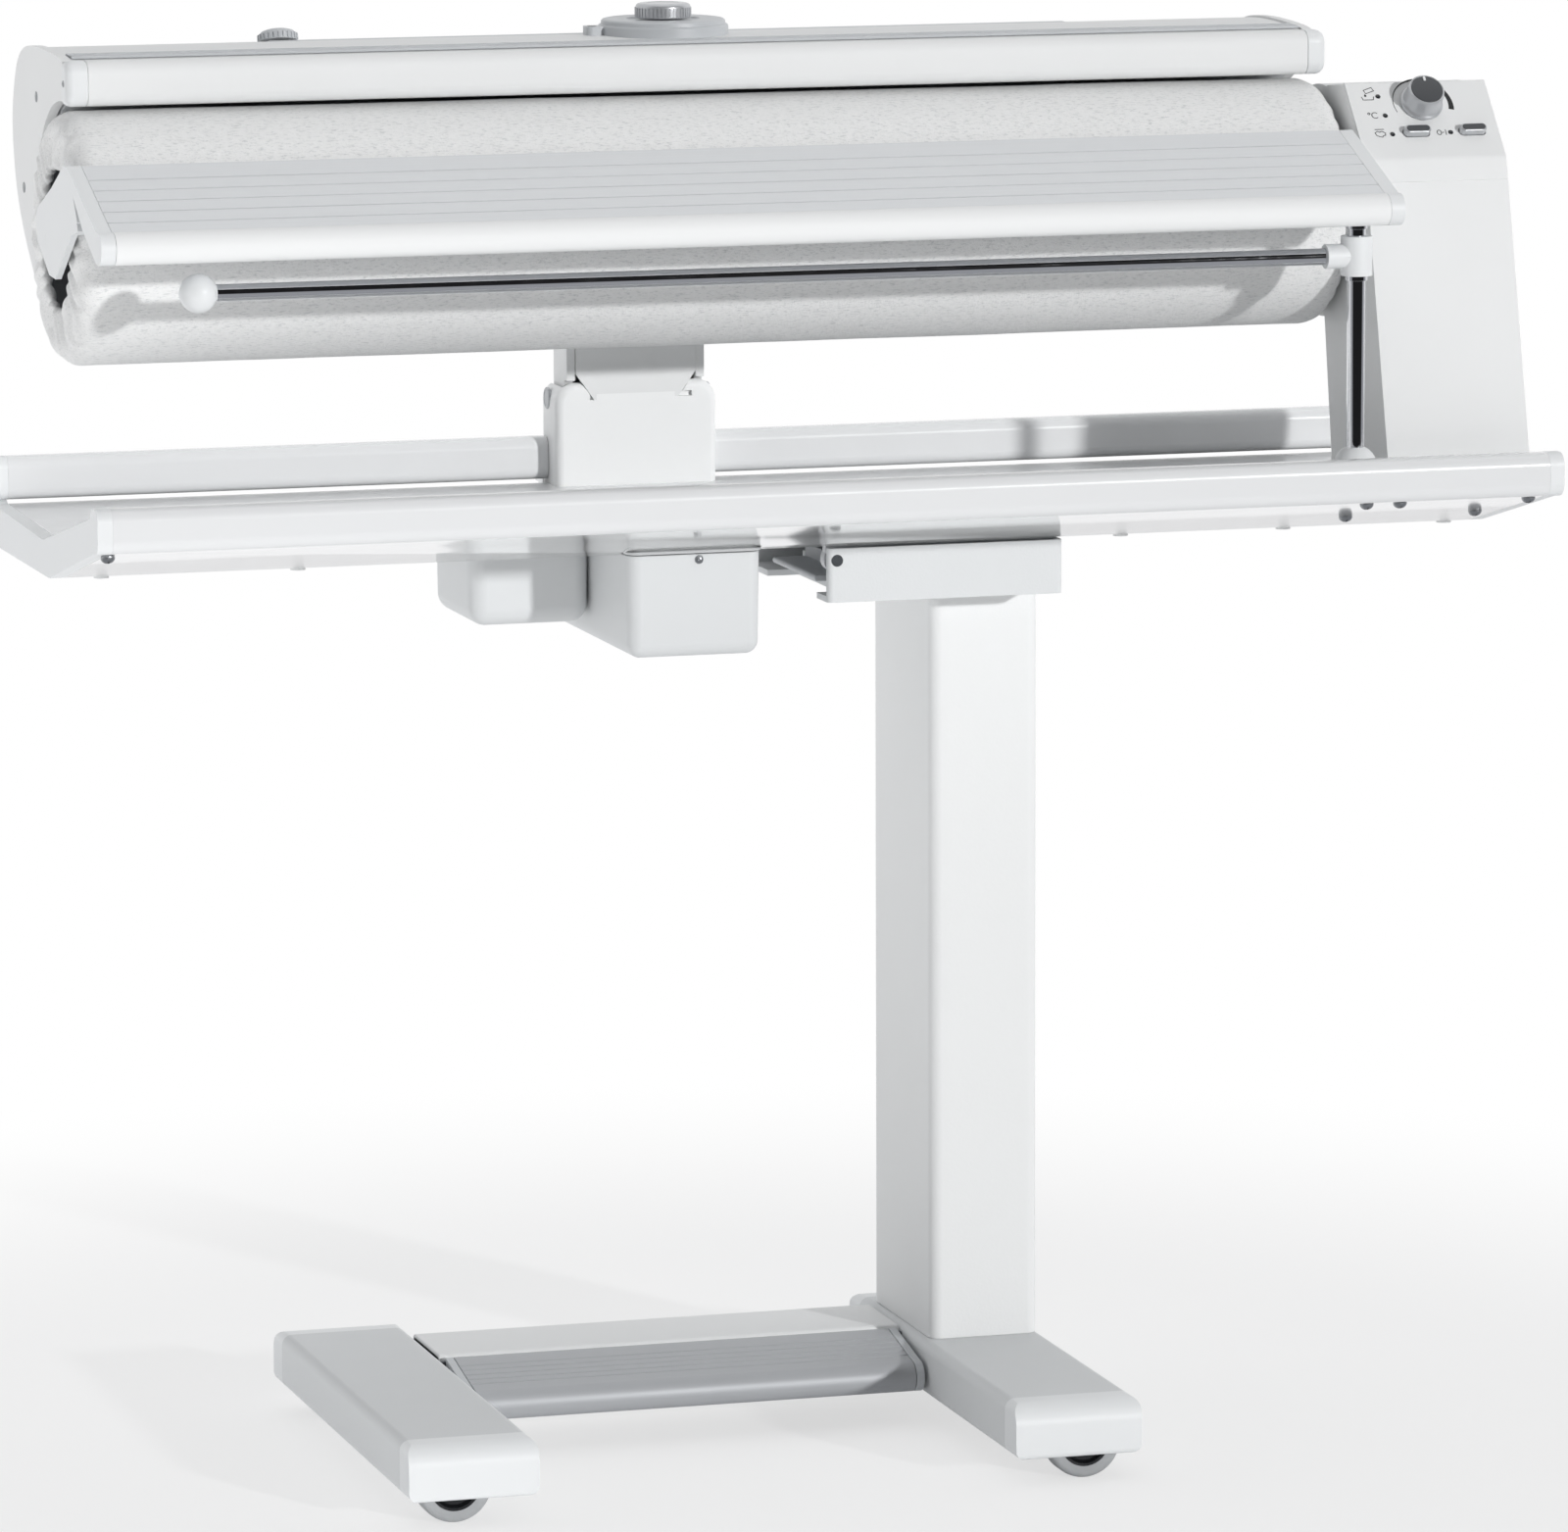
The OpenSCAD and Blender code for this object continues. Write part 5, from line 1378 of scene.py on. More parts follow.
@dataclass
class ShelfBeam:
    """Long beam with the linen shelf, its caps, covers and the boxes under it."""

    shop: Workshop
    screws: ScrewTree
    under: float = 609.0
    left_box: tuple[float, float] = (-194.0, -111.4)
    left_depth: tuple[float, float] = (32.0, 133.0)
    left_floor: float = 554.5
    left_round: float = 12.0
    right_box: tuple[float, float] = (-111.0, -20.0)
    right_depth: tuple[float, float] = (-60.0, 130.0)
    right_floor: float = 542.0
    right_round: float = 9.0
    seam: float = 610.2
    lid_top: float = 627.7
    neck: tuple[float, float] = (-112.0, 0.0)
    neck_front: float = 116.0
    neck_foot: float = 633.5
    neck_top: float = 705.0
    neck_round: float = 14.0
    neck_back: float = 153.0
    arm_slot: tuple[float, ...] = (-106.5, -6.5, 681.0, 712.0)
    arm_slot_y: Point = (120.5, 160.0)
    neck_wall: tuple[float, ...] = (633.5, 655.0, 152.0, 172.0)
    neck_skirt: tuple[float, ...] = (611.0, 634.0, 155.4, 172.0)
    pivot: Point = (140.0, 693.0)
    notch: tuple[Point, ...] = (
        (-88.6, 697.2), (-24.4, 697.2), (-17.6, 706.1), (-16.6, 712), (-96.4, 712), (-95.4, 706.1))
    notch_slots: tuple[tuple[float, ...], ...] = ((-88.6, -84.0, 693.2, 697.5), (-29.5, -17.5, 694.0, 697.6))

    def build(self) -> None:
        """Makes every piece of the beam."""
        shop = self.shop
        shop.soften("shelf_beam", RAIL_GLOSS, Body.BEAM, Slot.ENAMEL, 0.5, 2)
        shop.soften("beam_cap_left", CAP_PLASTIC, Body.BEAM, Slot.PALE, 2.2, 4)
        shop.soften("beam_cap_right", CAP_PLASTIC, Body.BEAM, Slot.PALE, 2.2, 4)
        shop.soften("bottom_cover", GLOSS, Body.BEAM, Slot.ENAMEL, 0.4, 2)
        shop.soften("fold_bracket", SILVER_PAINT, Body.BEAM, Slot.SILVER, 1.2)
        shop.soften("cord_gland", MID_GREY, Body.BEAM, Slot.GREY, 0.8)
        self.boxes()
        self.neck_box()
        shop.dress(MOTOR_PAINT, "pressure_motor")
        shop.dress(STEEL, "arm_shaft")
        shop.dress(ENAMEL, "beam_screws")

    def boxes(self) -> None:
        """The two housings under the beam, with wide fillets on their lower edges, in the darker copy of the
        casing plastic, a painted shade.
        """
        def drawn(x0: float, x1: float, y0: float, y1: float, r: float) -> Callable[[float], list[Point]]:
            """A rectangle's outline, to be drawn in by a size."""
            return lambda d: box_outline(x0 + d, x1 - d, y0 + d, y1 - d, max(r - d, 0.4), 8)

        shop = self.shop
        radius = self.left_round
        work = Work()
        work.pillow(drawn(*self.left_box, *self.left_depth, radius), self.left_floor, self.under, Axis.Z,
                    low_r=radius, steps=10, draft=0.6)
        shop.piece("pressure_housing_left_shell", work, PAINTED_SHADE_HOUSING, Body.BEAM, Slot.PALE,
                   ["pressure_housing_left"], sharp=50)
        (x0, x1), (y0, y1), radius, seam = self.right_box, self.right_depth, self.right_round, self.seam
        work = Work()
        work.pillow(drawn(x0, x1, y0, y1, radius), self.right_floor, seam, Axis.Z,
                    low_r=radius, high_r=0.5, steps=9, draft=1.0)
        shop.piece("pressure_housing_right_shell", work, PAINTED_SHADE_HOUSING, Body.BEAM, Slot.PALE,
                   ["pressure_housing_right"], sharp=50)
        work = Work()
        work.pillow(drawn(x0 - 0.6, x1 + 1.2, y0 - 1.2, y1, radius), seam + 0.7, seam + 3.0, Axis.Z,
                    0.8, 0.8, 3)
        work.pillow(drawn(x0 + 0.2, x1 - 0.2, y0 + 0.2, y1 - 0.2, radius), seam + 2.0, self.lid_top, Axis.Z,
                    0.0, 2.0, 4)
        shop.piece("pressure_housing_right_lid", work, PAINTED_SHADE_HOUSING, Body.BEAM, Slot.PALE, sharp=50)

    def neck_box(self) -> None:
        """Housing of the arm's foot: round edges, and a notch in the shape of the arm's panel; its plastic is
        the lighter copy of the casing plastic, a painted light.
        """
        x0, x1 = self.neck
        foot, top, front = self.neck_foot, self.neck_top, self.neck_front

        def drawn(d: float) -> list[Point]:
            """The neck's front, drawn in by a size."""
            return rounded(square(x0 + d, x1 - d, foot, top - d), [0.0, 0.0] + 2 * [self.neck_round - d], 8)

        work = Work()
        work.pillow(drawn, front, self.neck_back, Axis.Y, 5.5, 3.0, 7)
        slot = Work()
        slot.prism(square(*self.arm_slot), *self.arm_slot_y, Axis.Y)
        work.cut(slot)
        notch = Work()
        notch.prism(self.notch, front - 4, 124, Axis.Y)
        work.cut(notch)
        for sides in self.notch_slots:
            hole = Work()
            hole.prism(square(*sides), front - 4, front + 3, Axis.Y)
            work.cut(hole)
        for (low, high, y0, y1), narrow in ((self.neck_wall, 0), (self.neck_skirt, 2)):
            work.prism(square(x0 + narrow, x1 - narrow, low, high), y0, y1, Axis.Y)
        self.shop.piece("neck_housing_shell", work, PAINTED_LIGHT_NECK_CASING, Body.BEAM, Slot.PALE, ["neck_housing"],
                        sharp=40)
        cap = Work()
        for x, side in ((x0, -1), (x1, 1)):
            place = Matrix.Translation((x, *self.pivot)) @ Matrix.Rotation(side * math.pi / 2, 4, "Y")
            cap.lathe([(0, -1.0), (7.4, -1.0), (7.4, 0.3), (6.9, 0.8), (6.0, 0.9), (5.6, 0.5), (0, 0.5)],
                      place, 40)
        self.shop.piece("neck_pivot_caps", cap, GREY_PLASTIC, Body.BEAM, Slot.GREY, sharp=40)


@dataclass
class Tower:
    """Drive tower with its slanted control panel, knob and buttons."""

    shop: Workshop
    x0: float = 390.0
    x1: float = 490.0
    low: Point = (-84.0, 855.0)
    slope: float = 48.01
    knob_at: Point = (440.0, 47.0)
    knob_r: float = 14.6
    plate: float = 3.0
    low_row: float = 23.0
    scale_r: float = 19.2
    scale_steps: int = 32
    print_high: float = 0.12
    print_low: float = -0.2
    stroke: float = 0.24
    lamps: tuple[Point, ...] = ((411.2, 53.8), (412.6, 37.8), (414.0, 22.2), (455.2, 22.5))
    buttons: tuple[tuple[float, Body], ...] = ((431.0, Body.BUTTON_LEFT), (470.5, Body.BUTTON_RIGHT))

    def place(self, x: float, up: float, out: float = 0.0) -> Matrix:
        """A place on the slanted face, its Z standing straight out.

        Args:
            x: place along the roller.
            up: way up the slope.
            out: height above the face.
        Returns:
            The place in millimetres.
        """
        turn = Matrix.Rotation(math.radians(self.slope), 4, "X")
        return Matrix.Translation((x, self.low[0], self.low[1])) @ turn @ Matrix.Translation((0, up, out))

    def build(self) -> None:
        """Makes the tower and its controls."""
        shop = self.shop
        shop.soften("tower_casing", CASING, Body.BEAM, Slot.PALE, 2.6, 5)
        self.panel()
        shop.dress(STEEL, "tower_frame")
        shop.dress(MOTOR_PAINT, "drive_motor")
        shop.dress(BRASS, "motor_pinion")
        shop.dress(BOARD, "control_board")
        self.knob()
        for x, body in self.buttons:
            self.button(x, body)
        self.marks()

    def panel(self) -> None:
        """Smooth plate over the slope, rolled over the front edge, with its openings."""
        face = self.place(0, 0)
        corners = ((66.4, -0.4), (66.4, self.plate), (1.8, self.plate))
        at = [(face @ Vector((0, up, out))).yz for up, out in corners]
        outline = [tuple(v) for v in at] + [(-88.9, 843.2), (-87.6, 842.6), (-86.0, 843.4), (-81.0, 853.0)]
        outline = rounded(outline, [0.0, 2.2, 7.0, 0.5, 0.5, 0.5, 0.0], 8)
        work = Work()
        work.prism(outline, self.x0 + 0.3, self.x1 - 0.3)
        left, right = (self.x0 + 0.31) * MM, (self.x1 - 0.31) * MM
        work.ease(lambda e: max(v.co.x for v in e.verts) < left or min(v.co.x for v in e.verts) > right,
                  2.4, 5)
        holes = Work()
        holes.lathe([(0, -6), (3.2, -6), (3.2, 9), (0, 9)], self.place(*self.knob_at), 40)
        for x, _ in self.buttons:
            holes.slab(box_outline(-9.75, 9.75, -3.75, 3.75, 3.6, 8), -6, 9, self.place(x, self.low_row))
        work.cut(holes)
        self.shop.piece("control_panel_shell", work, CASING, Body.BEAM, Slot.PALE, ["control_panel"],
                        sharp=36)

    def knob(self) -> None:
        """Silver drum on a stepped ring, with a dark top and a short pale tick at its edge."""
        r, base = self.knob_r, self.plate + 0.3
        place = self.place(*self.knob_at)
        work = Work()
        work.lathe([(0, base - 9), (3, base - 9), (3, base), (r - 0.8, base), (r, base + 0.7),
                    (r, base + 1.8), (r - 0.5, base + 2.5), (r - 1.3, base + 2.9), (r - 1.6, base + 3.5),
                    (r - 1.9, base + 4.2), (r - 2.2, base + 13.6), (r - 2.5, base + 14.8),
                    (r - 3.1, base + 15.4), (r - 3.6, base + 15.2), (r - 3.8, base + 14.6),
                    (0, base + 14.6)], place, 72)
        work.lathe([(r - 3.9, base + 14.4), (r - 3.9, base + 15.0), (r - 4.6, base + 15.5),
                    (0, base + 15.7)], place, 72, 1)
        work.slab(box_outline(-0.8, 0.8, r - 7.6, r - 4.3, 0.4, 3), base + 15.4, base + 16.0, place, 2)
        self.shop.piece("temperature_knob_shell", work, [SILVER_PAINT, DARK_PLASTIC, CAP_PLASTIC],
                        Body.TEMPERATURE_KNOB, Slot.SILVER, ["temperature_knob"], sharp=40)

    def button(self, x: float, body: Body) -> None:
        """Pill-shaped button: silver rim round a dark domed top.

        Args:
            x: place along the roller.
            body: the button's body.
        """
        place = self.place(x, self.low_row)
        work = Work()
        work.slab(box_outline(-9.25, 9.25, -3.25, 3.25, 3.2, 8), -4.5, self.plate + 5, place)
        top = (self.plate + 4.99) * MM
        face = place.to_3x3() @ Vector((0, 0, 1))
        anchor = place.translation * MM
        work.ease(lambda e: min((v.co - anchor).dot(face) for v in e.verts) > top - 1e-5, 0.9, 3)
        work.slab(box_outline(-8.0, 8.0, -2.15, 2.15, 2.1, 8), self.plate + 4.9, self.plate + 5.35, place, 1)
        self.shop.piece(body.value + "_shell", work, [SILVER_PAINT, DARK_PLASTIC], body, Slot.SILVER,
                        [body.value], sharp=40)

    def marks(self) -> None:
        """Printed scale, lamps and plain signs on the panel."""
        low, high = self.plate + self.print_low, self.plate + self.print_high
        work = Work()
        place = self.place(*self.knob_at)
        outer, inner = [], []
        for k in range(self.scale_steps + 1):
            share = k / self.scale_steps
            turn = math.radians(200 - 215 * share)
            wide = self.scale_r + 0.35 + 3.4 * share ** 1.6
            outer.append((wide * math.cos(turn), wide * math.sin(turn)))
            inner.append((self.scale_r * math.cos(turn), self.scale_r * math.sin(turn)))
        for k in range(self.scale_steps):
            work.slab([inner[k], outer[k], outer[k + 1], inner[k + 1]], low, high, place, 0)
        for x, up in self.lamps:
            work.lathe([(0, low), (1.75, low), (1.75, self.plate + 0.25),
                        (1.3, self.plate + 0.5), (0, self.plate + 0.6)], self.place(x, up), 24, 1)
        self.signs(work, low, high)
        self.shop.piece("panel_marks", work, [PRINT, LAMP], Body.BEAM, Slot.GREY, sharp=40)

    def signs(self, work: Work, low: float, high: float) -> None:
        """Drop, degree, steam and 0-I signs beside the lamps.

        Args:
            work: the mesh that they join.
            low: the print's lower face.
            high: its upper face.
        """
        def stroke(place: Matrix, points: Sequence[Point], closed: bool = False) -> None:
            """Prints a line of strokes.

            Args:
                place: where it lies.
                points: its corners.
                closed: joins the last to the first.
            """
            ends = list(zip(points, points[1:])) + ([(points[-1], points[0])] if closed else [])
            for first, last in ends:
                a, b = Vector(first), Vector(last)
                along = (b - a).normalized() * self.stroke
                side = Vector((-along.y, along.x))
                corners = (a - along + side, a - along - side, b + along - side, b + along + side)
                work.slab([tuple(c) for c in corners], low, high, place)

        fill = self.place(404.6, 55.2)
        stroke(fill, [(-1.4, 1.2), (4.6, 3.4), (3.5, 6.2), (-2.5, 4.0)], True)
        work.slab([(-2.2, 1.0)] + arc((-2.2, -0.6), 0.8, 30, -210, 10), low, high, fill)
        stroke(fill, [(-5.0, -1.6), (-4.4, -4.0), (2.8, -4.0), (3.4, -1.6)])
        degree = self.place(404.6, 38.2)
        stroke(degree, arc((-3.2, 1.5), 0.75, 0, 330, 10), True)
        stroke(degree, arc((0.9, 0.0), 2.3, 48, 312, 14))
        steam = self.place(405.6, 23.0)
        stroke(steam, [(-3.0, 3.4), (3.0, 3.4)])
        stroke(steam, [(-3.6, 0.6), (-1.8, 1.9), (-0.3, 1.1), (1.4, 1.9), (3.6, 0.4), (3.3, -1.5),
                       (1.9, -1.7), (0.9, -3.0), (-1.0, -2.5), (-2.8, -1.6)], True)
        switch = self.place(449.6, 22.6)
        stroke(switch, [(0.8 * x - 2.4, y) for x, y in arc((0, 0), 1.9, 0, 336, 14)], True)
        stroke(switch, [(-0.2, 0.0), (0.8, 0.0)])
        stroke(switch, [(2.2, -1.9), (2.2, 1.9)])


# ---- roller and feed board

@dataclass
class Roller:
    """Padded roller: cloth drawn in over both ends, tube, axle and gear."""

    shop: Workshop
    left: float = -477.5
    right: float = 386.5
    axis_y: float = 3.0
    axis_z: float = 824.0
    radius: float = 82.5
    round_r: float = 16.0
    mouth: float = 45.0
    lip_r: float = 3.7
    tube: float = 62.2
    around: int = 288
    stations: int = 90
    gathers: float = 11.0
    gather_depth: float = 3.4
    unevenness: float = 1.6
    seed: float = 3.0

    def build(self) -> None:
        """Makes the cloth and dresses what it covers."""
        self.cloth()
        shop = self.shop
        shop.dress(TUBE_STEEL, "roller_tube")
        shop.dress(GREY_PLASTIC, "roller_bearings")
        shop.dress(GEAR, "roller_gear")
        shop.dress(AXLE_STEEL, "roller_axle")

    def profile(self) -> list[Spot]:
        """Place along X, radius and strength of the gathers, round the closed section.

        Returns:
            The three sizes at each point.
        """
        out: list[Spot] = []
        lip = self.lip_r
        for side in (-1, 1):
            end = self.left if side < 0 else self.right
            strength = 1.0 if side < 0 else 0.55
            inner = end - side * 2 * lip
            half: list[Spot] = [(inner, self.tube, 0.0), (inner, self.mouth + 5.5, 0.2)]
            for k in range(9):
                turn = math.radians(-90 + 180 * k / 8)
                half.append((end - side * (lip - lip * math.sin(turn)),
                             self.mouth + lip - lip * math.cos(turn), 0.45 + 0.3 * k / 8))
            flat = self.radius - self.round_r
            for k in range(1, 9):
                share = k / 8
                half.append((end, self.mouth + lip + (flat - self.mouth - lip) * share, 0.95 - 0.15 * share))
            for k in range(1, 13):
                turn = math.radians(90 * k / 12)
                half.append((end - side * self.round_r * (1 - math.cos(turn)),
                             flat + self.round_r * math.sin(turn), 0.80 * (1 - k / 12) ** 1.3 + 0.04))
            half = [(x, r, g * strength) for x, r, g in half]
            out = half if side < 0 else out + self.barrel() + half[::-1]
        return out

    def barrel(self) -> list[Spot]:
        """Stations along the straight part of the cloth.

        Returns:
            The three sizes at each station.
        """
        start, end = self.left + self.round_r, self.right - self.round_r
        out = []
        for k in range(1, self.stations):
            x = start + (end - start) * k / self.stations
            near = max(0.0, 1 - (x - start) / 40)
            out.append((x, self.radius, 0.05 * near))
        return out

    def cloth(self) -> None:
        """Turns the section into cloth and gathers it with the tree."""
        profile = self.profile()
        verts, faces = [], []
        for x, r, _ in profile:
            for k in range(self.around):
                turn = 2 * math.pi * k / self.around
                verts.append((x * MM, (self.axis_y + r * math.cos(turn)) * MM,
                              (self.axis_z + r * math.sin(turn)) * MM))
        count, n = len(profile), self.around
        for i in range(count):
            j = (i + 1) % count
            for k in range(n):
                m = (k + 1) % n
                faces.append((i * n + k, j * n + k, j * n + m, i * n + m))
        mesh = bpy.data.meshes.new("roller_cloth")
        mesh.from_pydata(verts, [], faces)
        work = bmesh.new()
        work.from_mesh(mesh)
        bmesh.ops.recalc_face_normals(work, faces=work.faces)
        work.to_mesh(mesh)
        work.free()
        around = mesh.attributes.new("around", "FLOAT", "POINT")
        gather = mesh.attributes.new("gather", "FLOAT", "POINT")
        for i, (_, _, strength) in enumerate(profile):
            for k in range(n):
                turn = 2 * math.pi * k / n
                around.data[i * n + k].value = turn if turn < math.pi else 2 * math.pi - turn
                gather.data[i * n + k].value = strength
        mesh.shade_smooth()
        tree = GatherTree("gathered cloth", CLOTH)
        made = tree.grow(self.shop, "roller_cloth", mesh, {
            "Fold Count": self.gathers, "Fold Depth": self.gather_depth * MM,
            "Unevenness": self.unevenness * MM, "Seed": self.seed})
        made.data.shade_smooth()
        self.shop.enrol(made, Body.ROLLER, Slot.FELT, ["roller_padding"])


@dataclass
class FeedBoard:
    """Grooved feed board with painted shade in its grooves, a bright nose, its ends and the arm to the axle.
    """

    shop: Workshop
    screws: ScrewTree
    left: float = -483.0
    right: float = 387.0
    cap: float = 9.5
    back: Point = (-68.0, 877.0)
    low: Point = (-157.0, 842.6)
    nose: Point = (-160.0, 832.5)
    nose_r: float = 10.5
    nose_from: float = -157.5
    grooves: tuple[float, ...] = (0.22, 0.38, 0.54, 0.70, 0.86)
    groove_width: float = 1.5
    groove_depth: float = 1.2
    axle: Point = (3.0, 824.0)
    plug_r: float = 3.6

    def outline(self) -> list[Point]:
        """Closed side drawing of the board, with the grooves of its top.

        Returns:
            The corners.
        """
        top = grooved(self.back, self.low, self.grooves, self.groove_width, self.groove_depth)
        under = [(-152.0, 823.0), (-112.0, 841.5), (-70.0, 870.0)]
        return top + arc(self.nose, self.nose_r, 72, 276, 20) + under

    def build(self) -> None:
        """Makes the board, its ends and its brackets."""
        work = Work()
        work.prism(self.outline(), self.left + self.cap + 0.25, self.right - self.cap - 0.25)
        work.paint(lambda c, n: c.y < self.nose_from and abs(n.x) < 0.5, 1)
        first, last = Vector(self.back), Vector(self.low)
        normal = Vector((last.y - first.y, first.x - last.x)).normalized()
        # the groove floors take the darker grey: painted shade in the grooves
        work.paint(lambda c, n: 0.3 < abs((Vector((c.y, c.z)) - first).dot(normal)) < 1.4 and n.z > 0.3
                   and c.y > self.low[0], 2)
        self.shop.piece("feed_board_shell", work, [SATIN, NOSE, GROOVE_PAINTED_SHADE], Body.BEAM, Slot.SILVER, ["feed_board"],
                        sharp=28)
        self.shop.soften("feed_bracket_left", CAP_PLASTIC, Body.BEAM, Slot.PALE, 2.2, 5)
        plug = Work()
        place = Matrix.Translation((self.left, *self.axle)) @ Matrix.Rotation(-math.pi / 2, 4, "Y")
        plug.lathe([(0, -2.5), (self.plug_r, -2.5), (self.plug_r, 0.05), (0, 0.05)], place, 36)
        self.shop.piece("bracket_plug", plug, CAP_PLASTIC, Body.BEAM, Slot.PALE, sharp=50)
        self.shop.soften("feed_bracket_right", CAP_PLASTIC, Body.BEAM, Slot.PALE, 1.4, 4)


@dataclass
class HangingRail:
    """Chrome post and swinging rail with white fittings."""

    shop: Workshop
    collars_from: float = 760.0

    def build(self) -> None:
        """Dresses the rods, eases the fittings and plates the upper collars."""
        self.shop.dress(CHROME, "hanging_post", "hanging_rail")
        fittings = self.shop.soften("post_fittings", CAP_PLASTIC, Body.BEAM, Slot.PALE, 0.3)
        fittings.data.materials.append(CHROME.material())
        for face in fittings.data.polygons:
            if face.center.z > self.collars_from * MM:
                face.material_index = 1
        self.shop.soften("rail_fittings", CAP_PLASTIC, Body.HANGING_RAIL, Slot.PALE, 0.8, sharp=40)


# ---- heater

@dataclass
class Heater:
    """Swinging heater: arm, cover with its ends, water filler, drain knob and finger guard."""

    shop: Workshop
    screws: ScrewTree
    left: float = -470.5
    right: float = 383.0
    cap: float = 7.0
    shoe: float = 88.7
    axis: Point = (3.0, 824.0)
    notch: tuple[float, float] = (-105.5, -7.5)
    filler: Spot = (-47.0, 78.0, 943.5)
    drain: Spot = (-299.0, 123.0, 938.5)
    skin: tuple[Point, ...] = (
        (80.0, 779.5), (95.0, 788.5), (130.0, 816.0), (154.5, 846.5), (164.0, 887.5), (155.0, 913.5),
        (141.0, 933.5), (105.0, 943.5), (5.0, 941.2), (0.0, 937.5))
    cap_holes: tuple[Point, ...] = ((83.0, 909.5), (127.0, 846.5))
    sunk: float = 1.3
    wall: float = 2.0
    notch_behind: Point = (116.5, 841.0)
    panel_forward: float = 1.38
    panel_foot: Point = (692.5, 0.98)
    ribs: int = 8
    rib_first: Spot = (-43.75, 7.5, 940.4)
    rib_step: Spot = (0.0, 2.6, 0.06)
    rib_size: Spot = (838.0, 1.3, 1.6)
    guard_y: tuple[float, float] = (-18.4, -0.4)
    guard_z: tuple[float, float] = (910.0, 939.5)
    guard_bar: tuple[float, float] = (-457.4, 372.6)
    guard_ends: tuple[float, float] = (-472.0, 386.5)
    guard_seam: float = 0.8

    def build(self) -> None:
        """Makes every piece of the heater."""
        shop = self.shop
        self.cover()
        self.ends()
        self.strip()
        self.filling()
        self.drain_knob()
        self.guard()
        shop.soften("heater_arm", ENAMEL, Body.ARM, Slot.ENAMEL, 0.8)
        shop.soften("arm_panel", CASING, Body.ARM, Slot.GREY, 0.0, 2, move=self.panel_move)
        shop.dress(SATIN, "heated_shoe")
        shop.dress(ELEMENT, "heating_elements")
        shop.dress(GREY_PLASTIC, "steam_tank")

    def panel_move(self, point: Vector) -> Vector:
        """Brings the arm's panel to the front of its cheeks and its foot into the neck."""
        below, drop = self.panel_foot
        return Vector((point.x, point.y - self.panel_forward, point.z - (drop if point.z < below else 0.0)))

    def path(self) -> list[Point]:
        """Smooth line of the skin from its lower rear edge over the top to the front."""
        return smooth_open(self.skin, 7)

    def cover(self) -> None:
        """Bent sheet from end to end, cut away where the arm passes."""
        line = inset([(77.0, 781.6)] + self.path() + [(0.0, 914.0)], self.sunk)
        stations = [self.left + self.cap, self.notch[0], self.notch[1], self.right - self.cap]
        work = Work()
        rings = [[work.bm.verts.new(spot(Axis.X, x, y, z)) for y, z in line] for x in stations]
        for s in range(3):
            for i in range(len(line) - 1):
                y = (line[i][0] + line[i + 1][0]) / 2
                z = (line[i][1] + line[i + 1][1]) / 2
                if s == 1 and self.notch_behind[0] < y and z < self.notch_behind[1]:
                    continue
                work.bm.faces.new((rings[s][i], rings[s + 1][i], rings[s + 1][i + 1], rings[s][i + 1]))
        work.bm.normal_update()
        top = max(work.bm.faces, key=lambda f: f.calc_center_median().z)
        if top.normal.z < 0:
            bmesh.ops.reverse_faces(work.bm, faces=work.bm.faces)
        mesh = bpy.data.meshes.new("heater_cover_shell")
        work.bm.to_mesh(mesh)
        work.bm.free()
        mesh.materials.append(ENAMEL.material())
        mesh.shade_smooth()
        made = bpy.data.objects.new("heater_cover_shell", mesh)
        bpy.context.scene.collection.objects.link(made)
        wall = made.modifiers.new("wall", "SOLIDIFY")
        wall.thickness, wall.offset, wall.use_even_offset = self.wall * MM, -1.0, True
        self.shop.bake(made)
        made.data.shade_smooth()
        made.data.set_sharp_from_angle(angle=math.radians(38))
        self.shop.enrol(made, Body.ARM, Slot.ENAMEL, ["heater_cover"])

    def ends(self) -> None:
        """End caps with eased rims and two sunk screws on the left."""
        outline = self.path() + [(0.0, 912.7)]
        centre = self.axis
        first = math.degrees(math.atan2(912.65 - centre[1], -centre[0]))
        outline += arc(centre, self.shoe, first, -27.0, 40)
        for node, x0 in (("cover_cap_left", self.left), ("cover_cap_right", self.right - self.cap)):
            work = Work()
            work.prism(outline, x0 + (0.6 if x0 > 0 else 0.0), x0 + self.cap - (0.6 if x0 < 0 else 0.0))
            self.shop.piece(node + "_shell", work, CASING, Body.ARM, Slot.PALE, [node], bevel=2.0,
                            segments=5, sharp=50)
        rims = Work()
        for y, z in self.cap_holes:
            place = Matrix.Translation((self.left - 0.05, y, z)) @ Matrix.Rotation(-math.pi / 2, 4, "Y")
            rims.lathe([(0, 0.05), (2.9, 0.05), (3.1, 0.2), (3.5, 0.2), (3.7, -0.2), (3.7, -0.6), (0, -0.6)],
                       place, 28)
        self.shop.piece("cover_cap_screw_seats", rims, MID_GREY, Body.ARM, Slot.GREY)
        drive_screws(self.shop, self.screws, "cover_cap_screws",
                     [Screw((self.left, y, z), (-1, 0, 0)) for y, z in self.cap_holes],
                     Body.ARM, Slot.STEEL, 2.5, 0.7)

    def strip(self) -> None:
        """Finely ribbed grey strip along the cover's front upper edge."""
        tree = RowTree("ribbed strip", GREY_PLASTIC)
        made = tree.grow(self.shop, "cover_ribs", bpy.data.meshes.new("cover_ribs"), {
            "Count": self.ribs, "First": [v * MM for v in self.rib_first],
            "Step": [v * MM for v in self.rib_step], "Bar Size": [v * MM for v in self.rib_size]})
        made.data.shade_flat()
        self.shop.enrol(made, Body.ARM, Slot.GREY)

